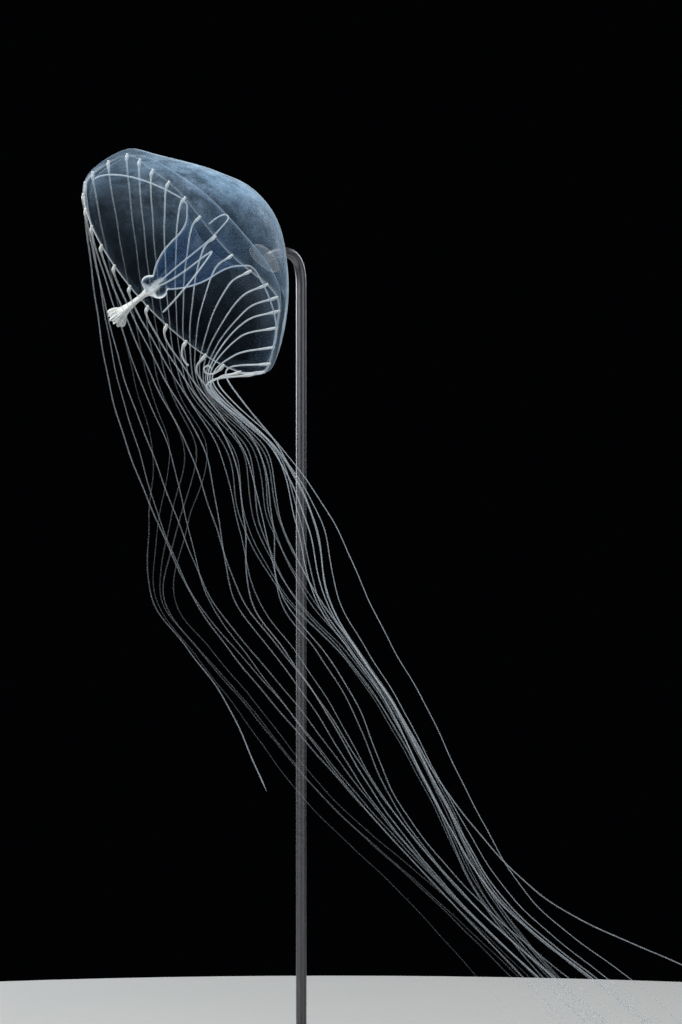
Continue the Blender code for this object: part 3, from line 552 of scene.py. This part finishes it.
def tube_grid(path, radii, sides):
    """Rings of points round a path, each carried on from the last without twist."""
    tangents = unit(np.gradient(path, axis=0))
    turn = circle(sides)
    across = unit(np.cross(tangents[0], (0.0, 1.0, 0.3)))
    sweeps = []
    for tangent in tangents:
        across = unit(across - tangent * np.dot(across, tangent))
        sweeps.append(across)
    across = np.array(sweeps)
    other = np.cross(across, tangents)
    spokes = np.cos(turn)[None, :, None] * across[:, None] + np.sin(turn)[None, :, None] * other[:, None]
    return path[:, None] + np.broadcast_to(radii, len(path))[:, None, None] * spokes


# ---------------------------------------------------------------- the skin

def side(pairs, before=None):
    """A smooth profile through pairs of radius and height in millimetres.

    It can run on from the pair before it, which it leaves out, so that stretches join without a kink.
    """
    pairs = (() if before is None else (before,)) + tuple(pairs)
    curve = smooth_curve(np.array(pairs) * MM, CURVE_STEPS)
    return curve[1:] if before is not None else curve


def body_grid():
    """The skin from the dome's crown over the margin and up the hollow, down the cone to the lips.

    Returns the points as rows by columns, the number of rows in each stretch, and the lips' pole.
    A row is one circle round the bell's axis: the dome by latitude, the ring canal and velum by
    their profiles, the hollow's roof by the same powers of sine and cosine, and below it the
    cone, the stomach, the mouth tube and the lips, their radius waved round the circle.
    """
    angles = CANAL_ANGLE + circle(COLUMNS)
    lobes = np.cos(4.0 * (angles - CANAL_ANGLE))
    dome = dome_point(angles, np.linspace(0.0, math.pi / 2, DOME_ROWS + 1)[1:, None])
    turn = np.linspace(math.pi / 2, math.asin(HOLLOW_END / HOLLOW_RADIUS), HOLLOW_ROWS)
    roof = np.stack((HOLLOW_RADIUS * np.sin(turn), HOLLOW_DEPTH * np.cos(turn) ** HOLLOW_POWER), axis=1)
    under = [on_bell(angles, part[:, :1], part[:, 1:])
             for part in (side(RING_SIDE), side(VELUM_SIDE, RING_SIDE[-1]), roof)]
    cone, stomach, tube, lips = (side(after, before[-1]) for before, after in (
        (roof / MM, CONE_SIDE), (CONE_SIDE, STOMACH_SIDE), (STOMACH_SIDE, TUBE_SIDE), (TUBE_SIDE, LIPS_SIDE)))
    at_roof = ease((cone[:, :1] - CONE_ROUND[0]) / (CONE_ROUND[1] - CONE_ROUND[0]))
    flare = ease((lips[:, :1] - LIP_FLARE[0]) / (LIP_FLARE[1] - LIP_FLARE[0]))
    folds = sum(size * np.cos(waves * angles + first) for waves, size, first in LIP_FOLDS)
    ruffle = LIP_RUFFLE * flare * (np.cos(9.0 * angles + 0.7) + 0.6 * np.sin(5.0 * angles))
    hanging = [on_cone(angles, part[:, :1] * (1.0 + wave), part[:, 1:] + drop) for part, wave, drop in (
        (cone, CONE_EDGE * (1.0 - at_roof) * lobes, 0.0), (stomach, STOMACH_LOBE * lobes, 0.0),
        (tube, TUBE_LOBE * lobes, 0.0), (lips, flare * folds, ruffle))]
    stretches = [dome] + under + hanging
    pole = on_cone(0.0, 0.0, (LIPS_SIDE[-1][1] + 0.5) * MM)
    return np.vstack(stretches), [len(part) for part in stretches], pole


STRETCHES = "dome", "ring", "velum", "roof", "cone", "stomach", "tube", "lips"
JELLY, FLESH, CORD = range(3)               # the skin's material slots


def add_body(surface):
    """The bell, velum, cone, stomach and mouth as one closed skin; returns its grid and row ranges."""
    grid, counts, pole = body_grid()
    ends = np.cumsum([0] + counts)
    rows = {name: slice(ends[k], ends[k + 1]) for k, name in enumerate(STRETCHES)}
    angles = CANAL_ANGLE + circle(COLUMNS)
    ribs = np.abs(np.cos(2.0 * (angles - CANAL_ANGLE))) ** 10.0
    milk, deep, cream, thick, edge = (np.zeros(grid.shape[:2]) for _ in range(5))
    down = {name: np.linspace(0.0, 1.0, count)[:, None] for name, count in zip(STRETCHES, counts)}
    for name, amount in EDGES.items():
        edge[rows[name]] = amount
    clear = CLEAR_SHARE * ease(0.5 + 0.7 * np.cos(angles - CLEAR_ANGLE))
    thick[rows["dome"]] = np.cos(math.pi / 2 * down["dome"]) ** THICK_POWER * (1.0 - clear)
    out = side(RING_SIDE)[:, :1]
    milk[rows["ring"]] = (between(RING_MILK, ease(0.5 + 2.0 * np.sin(angles)))
                          * np.exp(-((out - RING_LINE) / RING_LINE_WIDTH) ** 2))
    cream[rows["ring"]] = 0.5
    deep[rows["cone"]] = ease(3.0 * down["cone"])
    deep[rows["stomach"]] = 0.3 * (1.0 - down["stomach"])
    milk[rows["stomach"]] = 0.9 * np.maximum(ribs, ease((down["stomach"] - 0.75) / 0.2))
    cream[rows["stomach"]] = milk[rows["stomach"]]
    flesh = slice(rows["tube"].start - 2, None)
    slots = np.full(len(grid) - 1, JELLY)
    slots[flesh] = FLESH
    milk[flesh] = cream[flesh] = 1.0
    surface.add(grid, slots, (0.0, 0.0, 1.0, 0.62), start=dome_point(0.0, 0.0), end=pole,
                milk=milk, deep=deep, cream=cream, thick=thick, edge=edge)
    return grid, rows


def strip(left, width):
    """A strip of the map for one cord, above the body's part."""
    return left, 0.64, left + width, 1.0


def add_canals(surface, grid, rows, radius):
    """The canals: round cords carried along the skin's own columns, half sunk in it."""
    span = slice(rows["roof"].start, rows["cone"].stop + 2)
    around = np.roll(grid, -1, axis=1) - np.roll(grid, 1, axis=1)
    normals = unit(np.cross(np.gradient(grid, axis=0), around))
    for k in range(CANALS):
        column = k * COLUMNS // CANALS
        path = grid[span, column] + 0.35 * radius * normals[span, column]
        ends = np.minimum(np.arange(len(path)), np.arange(len(path))[::-1])
        radii = radius * np.sqrt(np.clip((ends + 0.4) / 2.0, 0.0, 1.0))
        surface.add(tube_grid(path, radii, CANAL_SIDES), CORD, strip(0.89 + 0.02 * k, 0.015),
                    start=path[0], end=path[-1], cream=0.1, milk=0.55)


def strand(index, settings):
    """Centre line and radii of one tentacle, with its bulb, small ripples and a rounded tip.

    The radius falls from the root's to the strand's as e to the minus length over ROOT_FADE, a
    bell curve adds the bulb, and the tip closes as the root of the length that is left.
    """
    curve = tentacle_curve(index)
    lengths = spaced_lengths(curve, STRAND_RINGS)
    whole = lengths[-1]
    path = points_at(curve, lengths)
    phase = TAU * (lengths / RIPPLE_LENGTH + GOLDEN * index)
    grown = ease(lengths / RIPPLE_GROWS) * RIPPLE
    path[:, :2] += grown[:, None] * np.stack((np.sin(phase), np.cos(0.77 * phase)), axis=1)
    thin = settings.strand_radius * between(THIN_TO_THICK, varied(index + 3))
    radii = thin + (settings.root_radius - thin) * np.exp(-lengths / ROOT_FADE)
    radii += (settings.bulb_radius - settings.root_radius) * np.exp(-((lengths - BULB_AT) / BULB_LENGTH) ** 2)
    if index in SHORT_TENTACLES:
        radii += KNOB * np.exp(-((lengths - whole + KNOB_FROM_TIP) / KNOB_LENGTH) ** 2)
    radii *= np.sqrt(np.clip((whole - lengths) / TIP_ROUND, 0.04, 1.0))
    return path, radii, lengths


def add_tentacles(surface, settings):
    """The strands: each a tube from its bulb under the ring canal to its tip.

    It looks most solid at its bulb, and fades from its root's look to its group's as e to the
    minus length over MILK_FADE.
    """
    for index in range(TENTACLE_COUNT):
        path, radii, lengths = strand(index, settings)
        inside = path[0] + RING_THICK * unit(path[0] - path[1])
        path = np.vstack((inside, path))
        radii = np.concatenate((radii[:1], radii))
        lengths = np.concatenate(([0.0], lengths))
        part = lengths / lengths[-1]
        near_root = np.exp(-lengths / MILK_FADE)
        to_right = right_share(root_angle(index))
        bright = next((milk for milk, group in zip(STRAND_MILK, GROUPS) if index in group[1]), SHORT_MILK)
        bright *= between((0.75, 1.25), varied(index * 5 + 1)) * between((0.6, 1.0), to_right)
        milk = (1.0 - near_root) * bright * (1.0 - 0.4 * part)
        milk += near_root * between(ROOT_MILK, to_right) + STRAY_MILK.get(index, 0.0) * part ** 4
        milk = np.maximum(milk, 0.9 * np.exp(-(lengths / (2.0 * MM)) ** 2))
        cream = 0.9 * np.exp(-lengths / CREAM_FADE)
        surface.add(tube_grid(path, radii, STRAND_SIDES), CORD, strip(0.01 + 0.027 * index, 0.02),
                    start=path[0], end=path[-1], milk=milk[:, None], cream=cream[:, None])


# ---------------------------------------------------------------- shader maths

class Value:
    """A number that varies over a surface: a socket whose signs add Math nodes."""

    def __init__(self, finish, socket):
        self.finish, self.socket = finish, socket

    def math(self, operation, first, second, clamp=False):
        return self.finish.node("ShaderNodeMath", {"operation": operation, "use_clamp": clamp},
                                {0: first, 1: second})

    def __add__(self, other):
        return self.math("ADD", self, other)

    def __sub__(self, other):
        return self.math("SUBTRACT", self, other)

    def __rsub__(self, other):
        return self.math("SUBTRACT", other, self)

    def __mul__(self, other):
        return self.math("MULTIPLY", self, other)

    def __pow__(self, other):
        return self.math("POWER", self, other)

    __radd__, __rmul__ = __add__, __mul__

    def clamped(self):
        return self.math("ADD", self, 0.0, clamp=True)


class Finish:
    """One material's node tree round its Principled shader."""

    def __init__(self, name, **plain):
        self.material = bpy.data.materials.new(name)
        self.material.use_nodes = True
        self.tree = self.material.node_tree
        self.shader = self.tree.nodes["Principled BSDF"]
        for socket, value in plain.items():
            self.shader.inputs[socket.replace("_", " ")].default_value = value

    def node(self, kind, settings=None, sockets=None, output=0):
        """Add a node: its settings first, then plain values or links for its sockets."""
        node = self.tree.nodes.new(kind)
        for name, value in (settings or {}).items():
            if name == "stops":
                for stop, place in zip(node.color_ramp.elements, value):
                    stop.position = place
            else:
                setattr(node, name, value)
        for name, value in (sockets or {}).items():
            self.feed(node.inputs[name], value)
        return Value(self, node.outputs[output])

    def feed(self, socket, value):
        if isinstance(value, Value):
            self.tree.links.new(value.socket, socket)
        elif socket.type == "RGBA":
            socket.default_value = (*value, 1.0)
        else:
            socket.default_value = value

    def set(self, name, value):
        self.feed(self.shader.inputs[name], value)

    def attribute(self, name):
        return self.node("ShaderNodeAttribute", {"attribute_name": name}, output="Fac")

    def mix(self, part, first, second):
        """A colour between two."""
        return self.node("ShaderNodeMix", {"data_type": "RGBA"}, {0: part, 6: first, 7: second}, output=2)

    def steps(self, value, low, high):
        """0 below one value and 1 above another, with a ramp between."""
        return self.node("ShaderNodeValToRGB", {"stops": (low, high)}, {"Fac": value})

    def facing(self):
        """0 square on and 1 edge on."""
        return self.node("ShaderNodeLayerWeight", None, {"Blend": 0.5}, output="Facing")

    def place(self, scale=(1.0, 1.0, 1.0)):
        """Object coordinates, stretched."""
        here = self.node("ShaderNodeTexCoord", output="Object")
        return self.node("ShaderNodeMapping", None, {"Vector": here, "Scale": scale})

    def across(self, columns, rows):
        """The piece's own map, stretched: how many cells go round it and along it."""
        here = self.node("ShaderNodeUVMap", {"uv_map": "OFBake"}, output="UV")
        return self.node("ShaderNodeMapping", None, {"Vector": here, "Scale": (columns, rows, 1.0)})

    def noise(self, scale, detail=3.0, place=None, roughness=0.5):
        return self.node("ShaderNodeTexNoise", None,
                         {"Vector": place or self.place(), "Scale": scale, "Detail": detail,
                          "Roughness": roughness})

    def bump(self, height, strength, distance):
        rise = self.node("ShaderNodeBump", None,
                         {"Height": height, "Strength": strength, "Distance": distance})
        self.set("Normal", rise)


def jelly_finish(settings):
    """Clear, mottled jelly: milkier where it is thick, where it is seen edge on and where milk is high."""
    finish = Finish("clear_jelly", Roughness=0.32, Specular_IOR_Level=0.3)
    milk, deep, cream, thick, edged = (finish.attribute(name) for name in Surface.VALUES)
    facing = finish.facing()
    drifts = finish.noise(75.0, 3.0)
    clouds = finish.noise(260.0, 6.0, roughness=0.65)
    specks = finish.steps(finish.noise(1100.0, 2.0), 0.58, 0.75)
    patches = (1.5 * drifts + 1.8 * clouds - 1.15).clamped()
    uneven = 0.3 + 1.2 * patches * patches * (3.0 - 2.0 * patches)
    outline = 0.95 * edged * facing ** 12.0 + 0.42 * edged ** 4.0 * facing ** 3.0
    edge = settings.edge * outline * (0.4 + 0.7 * uneven)
    fibres = finish.noise(1.0, 3.0, finish.across(90.0, 5.0))
    body = (settings.thin + (settings.thick - settings.thin) * thick) * (uneven + 0.5 * specks)
    body = body + 0.3 * deep * fibres ** 2.0
    tint = finish.mix(deep, settings.jelly, settings.deep)
    tint = finish.mix((0.9 * edge + 0.3 * specks).clamped(), tint, settings.pale)
    tint = finish.mix(milk.clamped(), tint, settings.strand)
    finish.set("Base Color", finish.mix(cream, tint, settings.cream))
    finish.set("Alpha", (body + edge + milk).clamped())
    finish.bump(clouds, 0.1, 0.2 * MM)
    return finish.material


def strand_finish(settings):
    """Thin glassy flesh: as see-through as milk says, cream at the bulbs."""
    finish = Finish("tentacle_flesh", Roughness=0.4)
    milk, cream = finish.attribute("milk"), finish.attribute("cream")
    grains = finish.noise(500.0, 3.0)
    finish.set("Base Color", finish.mix(cream, settings.strand, settings.cream))
    finish.set("Alpha", (milk * (0.6 + 0.8 * grains)).clamped())
    return finish.material


def flesh_finish(settings):
    """Opaque white flesh with fine folds, and painted shade in its creases: darker where the fold noise is
    high.
    """
    finish = Finish("white_flesh", Roughness=0.38)
    folds = finish.noise(420.0, 4.0)
    # Painted shade: the cream is darkened to six tenths of itself where the fold noise is high, to stand for
    # shade in the creases
    painted_crease_shade = tuple(0.6 * c for c in settings.cream)
    finish.set("Base Color", finish.mix((1.6 * folds ** 3.0).clamped(), settings.cream, painted_crease_shade))
    finish.bump(folds, 0.6, 0.3 * MM)
    return finish.material


def wood_finish(settings):
    """Dark stained wood: long grain along the base under a satin coat."""
    finish = Finish("base_wood", Coat_Weight=0.25, Coat_Roughness=0.25)
    grain = finish.noise(1.0, 6.0, finish.place((9.0, 160.0, 160.0)), 0.62)
    rings = finish.noise(1.0, 2.0, finish.place((3.0, 26.0, 26.0)), 0.5)
    light = finish.steps(0.65 * grain + 0.35 * rings, 0.38, 0.66)
    finish.set("Base Color", finish.mix(light, settings.wood, settings.grain))
    finish.set("Roughness", 0.34 + 0.22 * grain)
    finish.bump(grain, 0.25, 0.2 * MM)
    return finish.material


def steel_finish(settings):
    """Satin steel with fine scratches round the rod."""
    finish = Finish("rod_steel", Base_Color=(*settings.steel, 1.0), Metallic=1.0)
    scratches = finish.noise(1.0, 4.0, finish.place((300.0, 300.0, 1200.0)), 0.6)
    finish.set("Roughness", 0.3 + 0.2 * scratches)
    finish.bump(scratches, 0.05, 0.02 * MM)
    return finish.material


def clear_finish(settings):
    """Clear polished plastic: see-through square on, whiter along its edges."""
    finish = Finish("pad_plastic", Roughness=0.12)
    facing = finish.facing()
    haze = finish.noise(300.0, 2.0)
    finish.set("Base Color", finish.mix(facing, settings.clear, (0.95, 0.97, 0.98)))
    finish.set("Alpha", (0.03 + 0.06 * haze + 0.4 * facing ** 3.0).clamped())
    return finish.material


def floor_finish(settings):
    """Matt pale board, very slightly uneven."""
    finish = Finish("floor_board", Roughness=0.7)
    clouds = finish.noise(9.0, 3.0)
    darker = tuple(0.94 * c for c in settings.floor)
    finish.set("Base Color", finish.mix(clouds, settings.floor, darker))
    return finish.material


# ---------------------------------------------------------------- operators

class JELLYFISH_OT_skin(bpy.types.Operator):
    """Make the animal's one skin: bell, cone, mouth, canals, ring and tentacles"""
    bl_idname = "jellyfish.skin"
    bl_label = "Skin"

    def execute(self, context):
        settings = context.scene.jellyfish_skin
        surface = Surface(Surface.VALUES)
        grid, rows = add_body(surface)
        add_canals(surface, grid, rows, settings.canal_radius)
        add_tentacles(surface, settings)
        materials = (jelly_finish(settings), flesh_finish(settings), strand_finish(settings))
        skin = surface.build("jellyfish_skin", materials)
        flesh = [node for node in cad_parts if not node.startswith("stand_")]
        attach(skin, BODY)
        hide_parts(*flesh)
        return {"FINISHED"}


class JELLYFISH_OT_stand_base(bpy.types.Operator):
    """Make the stained wooden base: a round-ended plate with softened edges"""
    bl_idname = "jellyfish.stand_base"
    bl_label = "Base"

    def execute(self, context):
        settings = context.scene.jellyfish_stand
        low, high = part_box("stand_base")
        reach = (high.x - low.x) / 2 - (high.y - low.y) / 2
        radius, soft = (high.y - low.y) / 2, settings.edge_radius
        # Rows of one outline, two half circles pulled apart, inset by a quarter circle at either edge
        turn = circle(BASE_COLUMNS) + 0.5 * TAU / BASE_COLUMNS
        quarter = np.linspace(0.0, math.pi / 2, 7)
        inset = np.concatenate((soft * (1.0 - np.sin(quarter)), soft * (1.0 - np.cos(quarter))))
        height = np.concatenate((low.z + soft * (1.0 - np.cos(quarter)),
                                 high.z - soft * (1.0 - np.sin(quarter))))
        around = (radius - inset)[::-1, None]
        x = np.sign(np.cos(turn)) * reach + around * np.cos(turn)
        grid = np.stack((x, around * np.sin(turn), np.repeat(height[::-1, None], len(turn), axis=1)), axis=-1)
        inner = grid[[0, -1]] * (0.5, 0.5, 1.0)
        base = plain_piece("stand_base_board", wood_finish(settings), np.vstack((inner[:1], grid, inner[1:])),
                           start=(0.0, 0.0, high.z), end=(0.0, 0.0, low.z))
        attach(base, BODY)
        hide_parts("stand_base")
        return {"FINISHED"}


def pad_surface(angle, latitude, off):
    """Points a distance off the dome, along its outward normal."""
    small = 1e-4
    point = dome_point(angle, latitude)
    along = dome_point(angle + small, latitude) - dome_point(angle - small, latitude)
    down = dome_point(angle, latitude + small) - dome_point(angle, latitude - small)
    return point + off * unit(np.cross(down, along))


class JELLYFISH_OT_stand_rod(bpy.types.Operator):
    """Make the steel rod and its round foot: upright, then bent over to the pad"""
    bl_idname = "jellyfish.stand_rod"
    bl_label = "Rod"

    def execute(self, context):
        settings = context.scene.jellyfish_stand
        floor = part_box("stand_foot")[0].z
        touch = pad_surface(PAD_ANGLE, PAD_LATITUDE, 2 * PAD_GAP + PAD_THICK)
        corner = touch + ROD_REACH * unit(touch - dome_point(PAD_ANGLE, PAD_LATITUDE))
        start = corner - (0.0, 0.0, ROD_REACH)
        t = np.linspace(0.0, 1.0, BEND_ROWS)[:, None]
        bend = (1 - t) ** 2 * start + 2 * t * (1 - t) * corner + t * t * touch      # a Bezier parabola
        # Radii and levels of the foot's side, rounded by a quarter circle, then of the upright
        soft = np.linspace(0.0, math.pi / 2, 6)
        small = settings.rod_radius
        radii = np.concatenate(([FOOT_RADIUS - FOOT_BEVEL, FOOT_RADIUS],
                                FOOT_RADIUS - FOOT_ROUND * (1.0 - np.cos(soft)), [small + ROD_FLARE, small]))
        levels = np.concatenate(([0.0, FOOT_BEVEL], FOOT_HEIGHT - FOOT_ROUND * (1.0 - np.sin(soft)),
                                 [FOOT_HEIGHT, FOOT_HEIGHT + ROD_FLARE]))
        upright = np.linspace(FOOT_HEIGHT + 2 * MM, start[2] - floor, UPRIGHT_ROWS, endpoint=False)
        radii = np.concatenate((radii, np.full(len(upright) + len(bend), small)))
        levels = np.concatenate((levels, upright))
        path = np.vstack((start * (1.0, 1.0, 0.0) + (floor + levels)[:, None] * (0.0, 0.0, 1.0), bend))
        rod = plain_piece("stand_rod_bent", steel_finish(settings), tube_grid(path, radii, ROD_SIDES),
                          start=path[0], end=path[-1])
        rod.data.set_sharp_from_angle(angle=math.radians(40.0))
        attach(rod, BODY)
        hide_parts("stand_foot", "stand_rod")
        return {"FINISHED"}


class JELLYFISH_OT_stand_pad(bpy.types.Operator):
    """Make the clear pad that fits the dome's back"""
    bl_idname = "jellyfish.stand_pad"
    bl_label = "Pad"

    def execute(self, context):
        settings = context.scene.jellyfish_stand
        turn = circle(PAD_COLUMNS)
        # Span and thickness shares across the pad: under side out to the rim, round it, and back in
        section = ((0.5, 0.0), (0.92, 0.0), (0.98, 0.06), (1.0, 0.3), (1.0, 0.7), (0.98, 0.94),
                   (0.92, 1.0), (0.5, 1.0))
        rows = [pad_surface(PAD_ANGLE + PAD_SPAN * wide * np.cos(turn),
                            PAD_LATITUDE + PAD_SPAN * wide * np.sin(turn),
                            PAD_GAP + PAD_THICK * up) for wide, up in section]
        pad = plain_piece("stand_pad_clear", clear_finish(settings), np.array(rows),
                          start=pad_surface(PAD_ANGLE, PAD_LATITUDE, PAD_GAP),
                          end=pad_surface(PAD_ANGLE, PAD_LATITUDE, PAD_GAP + PAD_THICK))
        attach(pad, BODY)
        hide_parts("stand_pad")
        return {"FINISHED"}


def put(name, data, place, turn):
    """Link a camera or a lamp into the scene at a place, turned."""
    item = bpy.data.objects.new(name, data)
    item.location, item.rotation_euler = place, turn
    bpy.context.scene.collection.objects.link(item)
    return item


def make_floor(settings):
    """The floor: a round plate, its side a short slope and a drop, as shares of the radius and heights."""
    section = ((0.5, 0.0), (0.985, 0.0), (1.0, -0.003), (1.0, -0.02), (0.5, -0.02))
    wide, down = np.array(section).T[:, :, None]
    around = settings.floor_radius * np.exp(1j * circle(FLOOR_COLUMNS))
    grid = np.stack(np.broadcast_arrays(wide * around.real, wide * around.imag, down), axis=-1)
    return plain_piece("studio_floor", floor_finish(settings), grid,
                       start=(0.0, 0.0, 0.0), end=(0.0, 0.0, section[-1][1]))


class JELLYFISH_OT_stage(bpy.types.Operator):
    """Make the camera, the round pale floor, the lamps and the backdrop"""
    bl_idname = "jellyfish.stage"
    bl_label = "Studio"

    def execute(self, context):
        settings = context.scene.jellyfish_stage
        camera_data = bpy.data.cameras.new("camera")
        camera_data.lens, camera_data.sensor_width = LENS, SENSOR
        context.scene.camera = put("camera", camera_data, CAMERA_PLACE, (math.pi / 2, 0.0, 0.0))
        make_floor(settings)
        for name, place, width, height, power, tint in LAMPS:
            data = bpy.data.lights.new(name, "AREA")
            data.shape, data.size, data.size_y = "RECTANGLE", width, height
            data.energy, data.color = settings.power * power, tint
            aim = np.array(LAMP_AIM) - place
            lamp = put(name, data, place, (math.atan2(math.hypot(aim[0], aim[1]), -aim[2]), 0.0,
                                           math.atan2(aim[1], aim[0]) - math.pi / 2))
            lamp.visible_camera = False
        world = bpy.data.worlds.new("studio")
        world.use_nodes = True
        world.node_tree.nodes["Background"].inputs["Color"].default_value = (*settings.backdrop, 1.0)
        context.scene.world = world
        context.scene.view_settings.view_transform = "Standard"
        context.scene.cycles.transparent_max_bounces = 40
        return {"FINISHED"}


class JELLYFISH_PT_panel(bpy.types.Panel):
    """Lists the settings and the operators"""
    bl_idname = "JELLYFISH_PT_panel"
    bl_label = "Jellyfish"
    bl_space_type = "VIEW_3D"
    bl_region_type = "UI"
    bl_category = "Jellyfish"

    def draw(self, context):
        for group, _, operators in SECTIONS:
            box = self.layout.box()
            settings = getattr(context.scene, group)
            for name in settings.__annotations__:
                box.prop(settings, name)
            for operator in operators:
                box.operator(operator.bl_idname)


SECTIONS = (("jellyfish_stage", JellyfishStageSettings, (JELLYFISH_OT_stage,)),
            ("jellyfish_skin", JellyfishSkinSettings, (JELLYFISH_OT_skin,)),
            ("jellyfish_stand", JellyfishStandSettings,
             (JELLYFISH_OT_stand_base, JELLYFISH_OT_stand_rod, JELLYFISH_OT_stand_pad)))
CLASSES = [item for _, group, operators in SECTIONS for item in (group, *operators)] + [JELLYFISH_PT_panel]


def register():
    for item in CLASSES:
        bpy.utils.register_class(item)
    for name, group, _ in SECTIONS:
        setattr(bpy.types.Scene, name, PointerProperty(type=group))


def unregister():
    for name, _, _ in SECTIONS:
        delattr(bpy.types.Scene, name)
    for item in reversed(CLASSES):
        bpy.utils.unregister_class(item)


def main():
    register()
    bpy.ops.jellyfish.stage()
    bpy.ops.jellyfish.skin()
    bpy.ops.jellyfish.stand_base()
    bpy.ops.jellyfish.stand_rod()
    bpy.ops.jellyfish.stand_pad()


if __name__ == "__main__":
    main()
